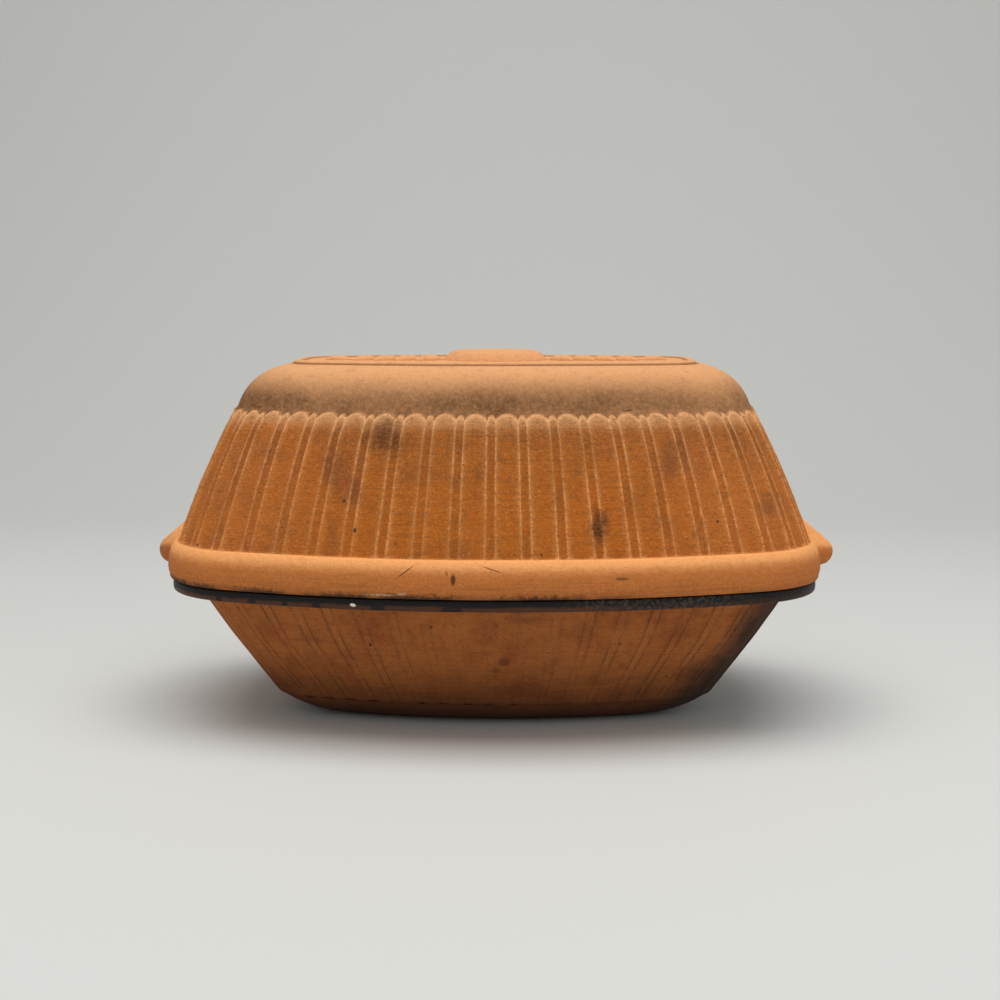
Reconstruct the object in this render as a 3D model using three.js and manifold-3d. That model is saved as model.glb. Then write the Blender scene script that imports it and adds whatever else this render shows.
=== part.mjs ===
// Clay roaster: a flared dish and a domed lid, both of unglazed red clay with fluted walls.
// Units are millimetres, +Z is up, X runs along the roaster, and the origin is under the middle of the dish.

import * as THREE from 'three';
import { mergeVertices } from 'three/addons/utils/BufferGeometryUtils.js';
import Module from 'manifold-3d';

const wasm = await Module();
wasm.setup();

// Plan outline of the dish rim: two long side arcs, two end arcs and four corner arcs.
const RIM_HALF_LENGTH = 160.5;
const RIM_HALF_WIDTH = 108.3;
const SIDE_ARC_RADIUS = 334;
const END_ARC_RADIUS = 399;
const CORNER_RADIUS = 51;
const LEAST_CORNER_RADIUS = 24;

// Walls of both pieces.
const WALL_THICKNESS = 9;

// Dish.
const SEAT_HEIGHT = 73.7;
const SEAT_WIDTH = 14.5;
const RIM_THICKNESS = 5.7;
const RIM_OVERHANG = 13.3;
const RIM_EDGE_RADIUS = 1.2;
const DISH_WALL_ANGLE = THREE.MathUtils.degToRad(56.7);
const TOE_RADIUS = 32;
const LIP_HEIGHT = 6;
const LIP_THICKNESS = 6;
const LIP_EDGE_RADIUS = 1.5;

// Lid.
const SEAT_GAP = 0.3;
const LIP_CLEARANCE = 2;
const LID_OVERHANG = 2.1;
const BAND_HEIGHT = 17.7;
const BAND_EDGE_RADIUS = 3.5;
const LEDGE_WIDTH = 1.2;
const LID_WALL_RISE = 65;
const LID_WALL_ANGLE = THREE.MathUtils.degToRad(66.2);
const LID_WALL_BOW = 1.5;
const SHOULDER_RADIUS = 36;
const SHOULDER_SWELL = 1.2;
const CROWN_ANGLE = THREE.MathUtils.degToRad(16);

// Flutes: a wide one and a narrow one make a pair, and a narrow one stands at the middle of the front.
const FLUTE_PAIRS = 53;
const NARROW_SHARE = 0.3;
const FLUTE_FAN = 0.5;
const LID_FLUTE_DEPTH = 1.5;
const DISH_FLUTE_DEPTH = 0.8;
const NARROW_DEPTH_RATIO = 0.6;
const CAP_STEP = 1.2;
const CAP_ARCH_HEIGHT = 4;

// Lugs moulded on the two ends of the lid: a round nose with a straight slope above it.
const LUG_REACH = 9;
const LUG_TIP_HEIGHT = 7.6;
const LUG_NOSE_RADIUS = 7.8;
const LUG_SLOPE_ANGLE = THREE.MathUtils.degToRad(50);
const LUG_RISE = 24;
const LUG_CORE_HALF_WIDTH = 10;
const LUG_HALF_WIDTH = 28;

// Framed panel on the crown, with an oval boss between two leaf sprigs.
const PANEL_INSET = 59.5;
const PANEL_SIDE_RADIUS = 300;
const PANEL_CORNER_RADIUS = 20;
const PANEL_HEIGHT = 1.4;
const FRAME_WIDTH = 5;
const FIELD_DEPTH = 0.8;
const BOSS_HALF_LENGTH = 26;
const BOSS_HALF_WIDTH = 21;
const BOSS_HEIGHT = 5.2;
const RELIEF_MARGIN = 6;
const LEAVES_PER_SIDE = 5;
const LEAF_LENGTH = 16;
const LEAF_WIDTH = 7;
const LEAF_HEIGHT = 2.6;
const LEAF_TILT = THREE.MathUtils.degToRad(48);

// How finely the curved surfaces are divided.
const SMOOTH_POINTS = 80;
const INSIDE_POINTS = 48;
const ARC_STEPS = 4;
const LEAF_SEGMENTS = 8;
const BOSS_SEGMENTS = 20;
const MERGE_DISTANCE = 0.001;

const CLAY = new THREE.MeshStandardMaterial({ color: 0xc77a3f, roughness: 0.92, metalness: 0 });
const DISH_CLAY = new THREE.MeshStandardMaterial({ color: 0xb5692f, roughness: 0.88, metalness: 0 });

const { sin, cos, tan, atan2, sqrt, abs, min, max, sign, floor, PI } = Math;
const { lerp, clamp } = THREE.MathUtils;

// Outlines

// One quarter of an oval, from the middle of its long side to the middle of its end, as three tangent arcs.
function makeOval(halfLength, halfWidth, sideRadius, endRadius, cornerRadius) {
  const side = new THREE.Vector2(0, halfWidth - sideRadius);
  const end = new THREE.Vector2(halfLength - endRadius, 0);
  const toEnd = end.clone().sub(side);
  const gap = toEnd.length();
  const fromSide = sideRadius - cornerRadius;
  const fromEnd = endRadius - cornerRadius;
  const along = (fromSide ** 2 - fromEnd ** 2 + gap ** 2) / (2 * gap);
  const across = sqrt(max(fromSide ** 2 - along ** 2, 0));
  const axis = toEnd.divideScalar(gap);
  const outward = new THREE.Vector2(axis.y, -axis.x);
  const corner = side.clone().addScaledVector(axis, along).addScaledVector(outward, across);
  const sideAngle = atan2(corner.y - side.y, corner.x - side.x);
  const endAngle = atan2(corner.y - end.y, corner.x - end.x);
  const arcs = [
    { centre: side, radius: sideRadius, from: PI / 2, to: sideAngle },
    { centre: corner, radius: cornerRadius, from: sideAngle, to: endAngle },
    { centre: end, radius: endRadius, from: endAngle, to: 0 },
  ];
  const lengths = arcs.map((arc) => arc.radius * (arc.from - arc.to));
  const total = lengths.reduce((sum, length) => sum + length, 0);
  return { arcs, lengths, total };
}

// The rim outline drawn in by the same distance all round.
function insetOval(inset) {
  return makeOval(
    RIM_HALF_LENGTH - inset,
    RIM_HALF_WIDTH - inset,
    SIDE_ARC_RADIUS - inset,
    END_ARC_RADIUS - inset,
    max(CORNER_RADIUS - inset, LEAST_CORNER_RADIUS),
  );
}

// Which arc a share of the quarter falls on, and how far along that arc it lies.
function stationAt(oval, share) {
  let left = share * oval.total;
  let index = 0;
  while (index < 2 && left > oval.lengths[index]) {
    left -= oval.lengths[index];
    index += 1;
  }
  return { index, part: min(left / oval.lengths[index], 1) };
}

function shareOfStation(oval, station) {
  const before = oval.lengths.slice(0, station.index).reduce((sum, length) => sum + length, 0);
  return (before + station.part * oval.lengths[station.index]) / oval.total;
}

const RIM_OVAL = insetOval(0);

// A flute drawn square to the rim keeps its station, and one spread evenly keeps its share.
// The real flutes lie between the two.
function fannedShare(oval, share) {
  const square = shareOfStation(oval, stationAt(RIM_OVAL, share));
  return lerp(square, share, FLUTE_FAN);
}

// Point and outward normal at a turn from 0 to 1.
// The turn starts at the middle of the front and runs anticlockwise.
function pointOn(oval, turn) {
  const quarter = floor(turn * 4) % 4;
  const part = turn * 4 - floor(turn * 4);
  const share = quarter % 2 === 0 ? part : 1 - part;
  const station = stationAt(oval, fannedShare(oval, share));
  const arc = oval.arcs[station.index];
  const angle = lerp(arc.from, arc.to, station.part);
  const signX = quarter < 2 ? 1 : -1;
  const signY = quarter === 1 || quarter === 2 ? 1 : -1;
  const normal = new THREE.Vector2(signX * cos(angle), signY * sin(angle));
  const x = signX * (arc.centre.x + arc.radius * cos(angle));
  const y = signY * (arc.centre.y + arc.radius * sin(angle));
  return { x, y, normal };
}

// Rings of points, and the closed surface through them

function evenTurns(count) {
  return Array.from({ length: count }, (_, index) => index / count);
}

function ring(oval, height, count, place = (point) => point) {
  const turns = evenTurns(count);
  const points = turns.map((turn) => {
    const { x, y } = pointOn(oval, turn);
    return place(new THREE.Vector3(x, y, height));
  });
  return { turns, points };
}

// Joins each ring to the next one, whatever their counts, and closes the first and the last with a flat fan.
function closedLoft(rings) {
  const positions = [];
  const addTriangle = (a, b, c) => positions.push(...a.toArray(), ...b.toArray(), ...c.toArray());
  for (let level = 0; level + 1 < rings.length; level += 1) {
    const lower = rings[level];
    const upper = rings[level + 1];
    const at = (r, index) => r.points[index % r.points.length];
    const turnAt = (r, index) => r.turns[index % r.turns.length] + floor(index / r.turns.length);
    let i = 0;
    let j = 0;
    while (i < lower.points.length || j < upper.points.length) {
      const lowerNext = i < lower.points.length ? turnAt(lower, i + 1) : Infinity;
      const upperNext = j < upper.points.length ? turnAt(upper, j + 1) : Infinity;
      if (lowerNext <= upperNext) {
        addTriangle(at(lower, i), at(lower, i + 1), at(upper, j));
        i += 1;
      } else {
        addTriangle(at(lower, i), at(upper, j + 1), at(upper, j));
        j += 1;
      }
    }
  }
  const closeWith = (r, upward) => {
    const middle = r.points.reduce((sum, p) => sum.add(p), new THREE.Vector3()).divideScalar(r.points.length);
    r.points.forEach((point, index) => {
      const next = r.points[(index + 1) % r.points.length];
      addTriangle(middle, upward ? point : next, upward ? next : point);
    });
  };
  closeWith(rings[0], false);
  closeWith(rings[rings.length - 1], true);
  const geometry = new THREE.BufferGeometry();
  geometry.setAttribute('position', new THREE.Float32BufferAttribute(positions, 3));
  return geometry;
}

// A round stretch of a wall profile, as insets and heights, turning from one slope to another.
// It may swell beyond the true arc in the middle.
function profileArc(centre, radius, fromAngle, toAngle, steps, swell = 0) {
  return Array.from({ length: steps + 1 }, (_, step) => {
    const angle = lerp(fromAngle, toAngle, step / steps);
    const reach = radius + swell * sin(PI * step / steps);
    return { inset: centre.inset + reach * cos(angle), height: centre.height + reach * sin(angle) };
  });
}

function smoothRings(profile, count, place) {
  return profile.map(({ inset, height }) => ring(insetOval(inset), height, count, place));
}

// Flutes

// Stations of one pair: the narrow flute's middle, an arris, the wide flute's middle and the next arris.
function fluteStations() {
  const stations = [];
  for (let pair = 0; pair < FLUTE_PAIRS; pair += 1) {
    stations.push({ turn: pair / FLUTE_PAIRS, depth: NARROW_DEPTH_RATIO });
    stations.push({ turn: (pair + NARROW_SHARE / 2) / FLUTE_PAIRS, depth: 0 });
    stations.push({ turn: (pair + 0.5) / FLUTE_PAIRS, depth: 1 });
    stations.push({ turn: (pair + 1 - NARROW_SHARE / 2) / FLUTE_PAIRS, depth: 0 });
  }
  return stations;
}

// A ring through the flutes: hollow between arrises, which stand lower than the flute ends by archDrop.
function flutedRing(inset, height, depth, { sunk = 0, archDrop = 0, place = (point) => point } = {}) {
  const oval = insetOval(inset);
  const stations = fluteStations();
  const points = stations.map((station) => {
    const { x, y, normal } = pointOn(oval, station.turn);
    const inward = station.depth * depth + sunk;
    const drop = station.depth === 0 ? archDrop : 0;
    return place(new THREE.Vector3(x - normal.x * inward, y - normal.y * inward, height - drop));
  });
  return { turns: stations.map((station) => station.turn), points };
}

// Solids

function toSolid(geometry) {
  geometry.deleteAttribute('normal');
  geometry.deleteAttribute('uv');
  const merged = mergeVertices(geometry, MERGE_DISTANCE);
  const vertProperties = merged.getAttribute('position').array;
  const triVerts = Uint32Array.from(merged.getIndex().array);
  return new wasm.Manifold(new wasm.Mesh({ numProp: 3, vertProperties, triVerts }));
}

function toGeometry(solid) {
  const mesh = solid.getMesh();
  const geometry = new THREE.BufferGeometry();
  geometry.setAttribute('position', new THREE.BufferAttribute(new Float32Array(mesh.vertProperties), 3));
  geometry.setIndex(new THREE.BufferAttribute(new Uint32Array(mesh.triVerts), 1));
  return geometry;
}

// Dish

function makeDish() {
  const rimUnderside = SEAT_HEIGHT - RIM_THICKNESS;
  const toeHeight = TOE_RADIUS * (1 - cos(DISH_WALL_ANGLE));
  const toeInset = RIM_OVERHANG + (rimUnderside - toeHeight) / tan(DISH_WALL_ANGLE);
  const footInset = toeInset + TOE_RADIUS * sin(DISH_WALL_ANGLE);
  const toeCentre = { inset: footInset, height: TOE_RADIUS };
  const footAngle = -PI / 2;
  const wallAngle = -PI / 2 - DISH_WALL_ANGLE;
  const lipInset = SEAT_WIDTH + LIP_THICKNESS;
  const lipTop = SEAT_HEIGHT + LIP_HEIGHT;
  const wallAcross = WALL_THICKNESS / sin(DISH_WALL_ANGLE);
  const lipFoot = rimUnderside - (lipInset - RIM_OVERHANG - wallAcross) * tan(DISH_WALL_ANGLE);

  const toe = profileArc(toeCentre, TOE_RADIUS, footAngle, wallAngle, ARC_STEPS);
  const rim = [
    { inset: RIM_EDGE_RADIUS, height: rimUnderside },
    { inset: 0, height: rimUnderside + RIM_EDGE_RADIUS },
    { inset: 0, height: SEAT_HEIGHT - RIM_EDGE_RADIUS },
    { inset: RIM_EDGE_RADIUS, height: SEAT_HEIGHT },
    { inset: SEAT_WIDTH, height: SEAT_HEIGHT },
  ];
  const inside = [
    { inset: SEAT_WIDTH, height: lipTop - LIP_EDGE_RADIUS },
    { inset: SEAT_WIDTH + LIP_EDGE_RADIUS, height: lipTop },
    { inset: lipInset - LIP_EDGE_RADIUS, height: lipTop },
    { inset: lipInset, height: lipTop - LIP_EDGE_RADIUS },
    { inset: lipInset, height: lipFoot },
    ...profileArc(toeCentre, TOE_RADIUS - WALL_THICKNESS, wallAngle, footAngle, ARC_STEPS),
  ];
  return closedLoft([
    ...smoothRings(toe.slice(0, -1), SMOOTH_POINTS),
    flutedRing(toeInset, toeHeight, DISH_FLUTE_DEPTH),
    flutedRing(RIM_OVERHANG, rimUnderside, DISH_FLUTE_DEPTH),
    ...smoothRings(rim, SMOOTH_POINTS),
    ...smoothRings(inside, INSIDE_POINTS),
  ]);
}

// Lid, drawn from its own underside upward

// How far a lug's face stands from the middle of the lid at a height.
function lugFaceAt(height) {
  const tip = RIM_HALF_LENGTH + LID_OVERHANG + LUG_REACH;
  const above = height - LUG_TIP_HEIGHT;
  const bend = LUG_NOSE_RADIUS * sin(LUG_SLOPE_ANGLE);
  if (above < bend) {
    return tip - LUG_NOSE_RADIUS + sqrt(LUG_NOSE_RADIUS ** 2 - above ** 2);
  }
  return tip - LUG_NOSE_RADIUS * (1 - cos(LUG_SLOPE_ANGLE)) - (above - bend) * tan(LUG_SLOPE_ANGLE);
}

function withLugs(point) {
  const away = (abs(point.y) - LUG_CORE_HALF_WIDTH) / (LUG_HALF_WIDTH - LUG_CORE_HALF_WIDTH);
  const across = (1 + cos(PI * clamp(away, 0, 1))) / 2;
  point.x += sign(point.x) * across * max(lugFaceAt(point.z) - abs(point.x), 0);
  return point;
}

function makePanelOval(drawnIn) {
  return makeOval(
    RIM_HALF_LENGTH - PANEL_INSET - drawnIn,
    RIM_HALF_WIDTH - PANEL_INSET - drawnIn,
    PANEL_SIDE_RADIUS - drawnIn,
    END_ARC_RADIUS - PANEL_INSET - drawnIn,
    PANEL_CORNER_RADIUS - drawnIn,
  );
}

function lidProfile() {
  const wallFoot = { inset: BAND_EDGE_RADIUS - LID_OVERHANG + LEDGE_WIDTH, height: BAND_HEIGHT };
  const wallTop = {
    inset: wallFoot.inset + LID_WALL_RISE / tan(LID_WALL_ANGLE),
    height: BAND_HEIGHT + LID_WALL_RISE,
  };
  const shoulderStart = { inset: wallTop.inset + CAP_STEP, height: wallTop.height };
  const shoulderCentre = {
    inset: shoulderStart.inset + SHOULDER_RADIUS * sin(LID_WALL_ANGLE),
    height: shoulderStart.height - SHOULDER_RADIUS * cos(LID_WALL_ANGLE),
  };
  const wallSide = PI / 2 + LID_WALL_ANGLE;
  const crownSide = PI / 2 + CROWN_ANGLE;
  const shoulder = profileArc(shoulderCentre, SHOULDER_RADIUS, wallSide, crownSide, ARC_STEPS, SHOULDER_SWELL);
  const shoulderEnd = shoulder[shoulder.length - 1];
  const panelFoot = shoulderEnd.height + (PANEL_INSET - shoulderEnd.inset) * tan(CROWN_ANGLE);
  const inner = profileArc(shoulderCentre, SHOULDER_RADIUS - WALL_THICKNESS, wallSide, crownSide, ARC_STEPS);
  return { wallFoot, wallTop, shoulder, panelFoot, inner };
}

function makeLidBody({ wallFoot, wallTop, shoulder, panelFoot, inner }) {
  const mouthInset = SEAT_WIDTH - LIP_CLEARANCE;
  const wallAcross = WALL_THICKNESS / sin(LID_WALL_ANGLE);
  const mouthTop = wallFoot.height + (mouthInset - wallFoot.inset - wallAcross) * tan(LID_WALL_ANGLE);
  const inside = [...inner].reverse().concat([
    { inset: mouthInset, height: mouthTop },
    { inset: mouthInset, height: 0 },
  ]);
  const edgeCentre = { inset: BAND_EDGE_RADIUS - LID_OVERHANG, height: BAND_HEIGHT - BAND_EDGE_RADIUS };
  const band = [
    { inset: RIM_EDGE_RADIUS - LID_OVERHANG, height: 0 },
    { inset: -LID_OVERHANG, height: RIM_EDGE_RADIUS },
    { inset: -LID_OVERHANG, height: LUG_TIP_HEIGHT / 2 },
    { inset: -LID_OVERHANG, height: LUG_TIP_HEIGHT },
    { inset: -LID_OVERHANG, height: (LUG_TIP_HEIGHT + edgeCentre.height) / 2 },
    ...profileArc(edgeCentre, BAND_EDGE_RADIUS, PI, PI / 2, 3),
  ];
  const archFoot = wallTop.height - CAP_ARCH_HEIGHT;
  const insetAt = (height) => wallFoot.inset + (height - wallFoot.height) / tan(LID_WALL_ANGLE);
  const middle = (wallFoot.height + wallTop.height) / 2;
  const flutes = [
    flutedRing(wallFoot.inset, wallFoot.height, LID_FLUTE_DEPTH, { place: withLugs }),
    flutedRing(insetAt(LUG_RISE), LUG_RISE, LID_FLUTE_DEPTH, { place: withLugs }),
    flutedRing(insetAt(middle) - LID_WALL_BOW, middle, LID_FLUTE_DEPTH),
    flutedRing(insetAt(archFoot), archFoot, LID_FLUTE_DEPTH, { archDrop: CAP_ARCH_HEIGHT / 2 }),
    flutedRing(wallTop.inset, wallTop.height, 0, { archDrop: CAP_ARCH_HEIGHT }),
    flutedRing(wallTop.inset, wallTop.height, 0, { sunk: CAP_STEP, archDrop: CAP_ARCH_HEIGHT / 2 }),
  ];
  const frameTop = panelFoot + PANEL_HEIGHT;
  const field = frameTop - FIELD_DEPTH;
  const panel = [
    ring(makePanelOval(0), panelFoot, SMOOTH_POINTS),
    ring(makePanelOval(PANEL_HEIGHT / 3), frameTop, SMOOTH_POINTS),
    ring(makePanelOval(FRAME_WIDTH - FIELD_DEPTH / 2), frameTop, SMOOTH_POINTS),
    ring(makePanelOval(FRAME_WIDTH), field, SMOOTH_POINTS),
  ];
  return closedLoft([
    ...smoothRings(inside, INSIDE_POINTS),
    ...smoothRings(band, SMOOTH_POINTS, withLugs),
    ...flutes,
    ...smoothRings(shoulder.slice(1), SMOOTH_POINTS),
    ...panel,
  ]);
}

// A low mound that swells from the panel's field.
function makeMound(halfLength, halfWidth, height, segments, place) {
  const mound = new THREE.SphereGeometry(1, segments, segments / 2);
  mound.rotateX(PI / 2);
  mound.scale(halfLength, halfWidth, height);
  mound.applyMatrix4(place);
  return toSolid(mound);
}

function makeRelief(field) {
  const panelHalfLength = RIM_HALF_LENGTH - PANEL_INSET - FRAME_WIDTH;
  const bossPlace = new THREE.Matrix4().makeTranslation(0, 0, field);
  const mounds = [makeMound(BOSS_HALF_LENGTH, BOSS_HALF_WIDTH, BOSS_HEIGHT, BOSS_SEGMENTS, bossPlace)];
  const first = BOSS_HALF_LENGTH + RELIEF_MARGIN;
  const last = panelHalfLength - RELIEF_MARGIN - LEAF_LENGTH / 2;
  for (const side of [-1, 1]) {
    for (let leaf = 0; leaf < LEAVES_PER_SIDE; leaf += 1) {
      const isTip = leaf === LEAVES_PER_SIDE - 1;
      const x = lerp(first, last, leaf / (LEAVES_PER_SIDE - 1));
      const across = isTip ? [0] : [-1, 1];
      for (const way of across) {
        const turn = way * side * LEAF_TILT;
        const y = way * (LEAF_LENGTH / 2) * sin(LEAF_TILT);
        const place = new THREE.Matrix4().makeRotationZ(turn).setPosition(side * x, y, field);
        mounds.push(makeMound(LEAF_LENGTH / 2, LEAF_WIDTH / 2, LEAF_HEIGHT, LEAF_SEGMENTS, place));
      }
    }
  }
  return mounds;
}

function makeLid() {
  const profile = lidProfile();
  const field = profile.panelFoot + PANEL_HEIGHT - FIELD_DEPTH;
  let lid = toSolid(makeLidBody(profile));
  for (const mound of makeRelief(field)) {
    lid = lid.add(mound);
  }
  return toGeometry(lid);
}

// Assembly

const dish = new THREE.Mesh(toGeometry(toSolid(makeDish())), DISH_CLAY);
dish.name = 'dish';

const lid = new THREE.Mesh(makeLid(), CLAY);
lid.name = 'lid';
lid.position.z = SEAT_HEIGHT + SEAT_GAP;

const roaster = new THREE.Group();
roaster.name = 'clay_roaster';
roaster.add(dish, lid);

export default roaster;
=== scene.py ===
"""Clay roaster: a domed, fluted lid of bare fired clay on a flared dish with a glazed rim.

Lengths are in millimetres until a mesh is made. Meshes, finishes and the studio are in metres, in the frame
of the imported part.
"""

import logging
import math
from collections.abc import Iterable, Sequence
from dataclasses import asdict, dataclass, field
from enum import Enum

import bpy
import numpy as np
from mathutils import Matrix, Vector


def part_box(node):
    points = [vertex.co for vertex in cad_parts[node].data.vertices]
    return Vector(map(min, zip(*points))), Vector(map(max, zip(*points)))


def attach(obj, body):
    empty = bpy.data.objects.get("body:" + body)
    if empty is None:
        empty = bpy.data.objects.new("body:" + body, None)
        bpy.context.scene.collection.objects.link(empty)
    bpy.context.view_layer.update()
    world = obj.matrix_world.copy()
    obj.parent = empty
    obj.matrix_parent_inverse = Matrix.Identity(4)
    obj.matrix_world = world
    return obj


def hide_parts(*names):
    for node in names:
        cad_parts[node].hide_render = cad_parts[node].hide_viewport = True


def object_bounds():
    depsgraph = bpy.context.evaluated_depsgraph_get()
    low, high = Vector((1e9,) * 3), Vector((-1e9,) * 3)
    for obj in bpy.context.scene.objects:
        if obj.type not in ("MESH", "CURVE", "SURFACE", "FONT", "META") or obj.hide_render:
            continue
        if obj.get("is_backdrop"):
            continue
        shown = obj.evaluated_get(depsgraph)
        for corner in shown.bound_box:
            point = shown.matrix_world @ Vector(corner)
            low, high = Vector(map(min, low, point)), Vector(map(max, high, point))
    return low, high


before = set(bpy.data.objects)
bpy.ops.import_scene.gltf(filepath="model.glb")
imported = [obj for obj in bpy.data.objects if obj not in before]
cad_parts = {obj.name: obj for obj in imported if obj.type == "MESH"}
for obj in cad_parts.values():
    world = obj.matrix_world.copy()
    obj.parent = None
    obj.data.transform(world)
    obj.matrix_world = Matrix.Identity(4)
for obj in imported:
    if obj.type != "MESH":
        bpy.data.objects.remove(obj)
CAD_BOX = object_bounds()

LOG = logging.getLogger("clay_roaster")
MM = 0.001
SEAT_GAP = 0.3
FLUTE_PAIRS = 53
NARROW_SHARE = 0.27
FLUTE_FAN = 0.5
NARROW_COLUMNS = (-0.82, -0.5, 0.0, 0.5, 0.82)
WIDE_COLUMNS = (-1.0, -0.93, -0.8, -0.55, -0.28, 0.0, 0.28, 0.55, 0.8, 0.93, 1.0)
CLOSING_SCALES = (0.1, 0.4, 0.7, 0.9)
UP, DOWN, INWARD = math.pi / 2, -math.pi / 2, math.pi

Array = np.ndarray
Colour = tuple[float, float, float, float]
Span = tuple[float, float]
Place = tuple[float, float, float]
Thing = bpy.types.Object
Material = bpy.types.Material
Socket = bpy.types.NodeSocket
Value = Socket | float


def srgb(red: int, green: int, blue: int) -> Colour:
    """Gives a screen colour, 0 to 255, as the linear colour that shaders use.

    Args:
        red: Red channel.
        green: Green channel.
        blue: Blue channel.

    Returns:
        Linear red, green, blue and an alpha of one.
    """
    def linear(channel: int) -> float:
        """One channel, made linear."""
        share = channel / 255
        return share / 12.92 if share <= 0.04045 else ((share + 0.055) / 1.055) ** 2.4

    return linear(red), linear(green), linear(blue), 1.0


@dataclass(frozen=True)
class Oval:
    """A plan outline of tangent side, corner and end arcs, alike in all four quarters."""

    half_length: float
    half_width: float
    side_radius: float
    end_radius: float
    corner_radius: float
    least_corner: float = 24.0

    def drawn_in(self, distance: float) -> "Oval":
        """The same outline moved inwards by a distance all round."""
        return Oval(
            self.half_length - distance,
            self.half_width - distance,
            self.side_radius - distance,
            self.end_radius - distance,
            max(self.corner_radius - distance, self.least_corner),
            self.least_corner,
        )

    def arcs(self) -> tuple[Array, Array, Array]:
        """Works out one quarter, from the middle of the side to the middle of the end.

        Returns:
            The three arcs' centres, their radii, and the four angles between which they run.
        """
        side = np.array([0.0, self.half_width - self.side_radius])
        end = np.array([self.half_length - self.end_radius, 0.0])
        gap = float(np.linalg.norm(end - side))
        axis = (end - side) / gap
        from_side = self.side_radius - self.corner_radius
        from_end = self.end_radius - self.corner_radius
        along = (from_side**2 - from_end**2 + gap**2) / (2 * gap)
        across = math.sqrt(max(from_side**2 - along**2, 0.0))
        corner = side + axis * along + np.array([axis[1], -axis[0]]) * across
        side_angle = math.atan2(corner[1] - side[1], corner[0] - side[0])
        end_angle = math.atan2(corner[1] - end[1], corner[0] - end[0])
        radii = np.array([self.side_radius, self.corner_radius, self.end_radius])
        return np.array([side, corner, end]), radii, np.array([math.pi / 2, side_angle, end_angle, 0.0])

    def cuts(self) -> Array:
        """Where the arcs begin and end, as shares of the quarter's length."""
        _, radii, angles = self.arcs()
        lengths = radii * -np.diff(angles)
        return np.concatenate([[0.0], np.cumsum(lengths)]) / lengths.sum()

    def points(self, turns: Array) -> tuple[Array, Array]:
        """Places points round the outline, fanned as the flutes are.

        Args:
            turns: Turns from 0 to 1, anticlockwise from the middle of the front.

        Returns:
            The points and their outward normals, each with x and y.
        """
        quarter = np.floor(turns * 4).astype(int) % 4
        part = turns * 4 - np.floor(turns * 4)
        share = np.where(quarter % 2 == 0, part, 1 - part)
        marks = np.arange(4.0)
        cuts = self.cuts()
        square = np.interp(np.interp(share, RIM.cuts(), marks), marks, cuts)
        station = np.interp(square + (share - square) * FLUTE_FAN, cuts, marks)
        arc = np.minimum(station.astype(int), 2)
        centres, radii, angles = self.arcs()
        angle = angles[arc] + (angles[arc + 1] - angles[arc]) * (station - arc)
        facing = np.stack([np.cos(angle), np.sin(angle)], axis=1)
        right = np.where(quarter < 2, 1.0, -1.0)
        back = np.where((quarter == 1) | (quarter == 2), 1.0, -1.0)
        signs = np.stack([right, back], axis=1)
        return signs * (centres[arc] + radii[arc, None] * facing), signs * facing


_DISH_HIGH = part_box("dish")[1]
RIM = Oval(_DISH_HIGH[0] / MM, _DISH_HIGH[1] / MM, side_radius=334.0, end_radius=399.0, corner_radius=51.0)


@dataclass(frozen=True)
class Level:
    """One level of a wall's profile: how far in it lies, how high, and which way it faces."""

    inset: float
    height: float
    lean: float = 0.0

    def turned(self) -> "Level":
        """The same level, facing the other way."""
        return Level(self.inset, self.height, self.lean + math.pi)


def round_levels(
    centre: Level, radius: float, start: float, stop: float, steps: int, swell: float = 0.0
) -> list[Level]:
    """Levels round an arc of a profile.

    Args:
        centre: Inset and height of the arc's middle.
        radius: Radius of the arc.
        start: Elevation in degrees of the first point's outward direction.
        stop: Elevation in degrees of the last point's outward direction.
        steps: Number of stretches.
        swell: How far the middle of the arc stands beyond its radius.

    Returns:
        The levels, each facing away from the middle.
    """
    levels = []
    for share in np.linspace(0, 1, steps + 1):
        lean = math.radians(start + (stop - start) * share)
        reach = radius + swell * math.sin(math.pi * share)
        inset = centre.inset - reach * math.cos(lean)
        levels.append(Level(inset, centre.height + reach * math.sin(lean), lean))
    return levels


def flattened(arc: Sequence[Level], flatness: float) -> list[Level]:
    """Draws an arc of levels part of the way to its chord.

    Args:
        arc: Levels from one end of the arc to the other.
        flatness: Share of the way, from 0, the arc, to 1, the chord.

    Returns:
        The flatter levels, which face as they did.
    """
    first, last = arc[0], arc[-1]
    levels = []
    for level, share in zip(arc, np.linspace(0, 1, len(arc))):
        inset = first.inset + (last.inset - first.inset) * share
        height = first.height + (last.height - first.height) * share
        levels.append(Level(
            level.inset + flatness * (inset - level.inset), level.height + flatness * (height - level.height),
            level.lean,
        ))
    return levels


def flute_turns() -> Array:
    """Turns of the mesh's columns: every arris has one, and they gather beside it."""
    narrow = np.array(NARROW_COLUMNS) * NARROW_SHARE / 2
    wide = 0.5 + np.array(WIDE_COLUMNS) * (1 - NARROW_SHARE) / 2
    pair = np.concatenate([narrow, wide])
    turns = (np.arange(FLUTE_PAIRS)[:, None] + pair[None, :]).ravel() / FLUTE_PAIRS
    return np.sort(turns % 1.0)


def ring_quads(rows: int, count: int) -> list[list[int]]:
    """Joins rings of points, each to the next.

    Args:
        rows: Number of rings.
        count: Number of points in a ring.

    Returns:
        The four corners of each face.
    """
    here = np.arange(count)
    after = (here + 1) % count
    first = np.stack([here, after, count + after, count + here], axis=1)
    return np.vstack([row * count + first for row in range(rows - 1)]).tolist()


def link(thing: Thing) -> Thing:
    """Puts an object in the scene and returns it."""
    bpy.context.scene.collection.objects.link(thing)
    return thing


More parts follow.
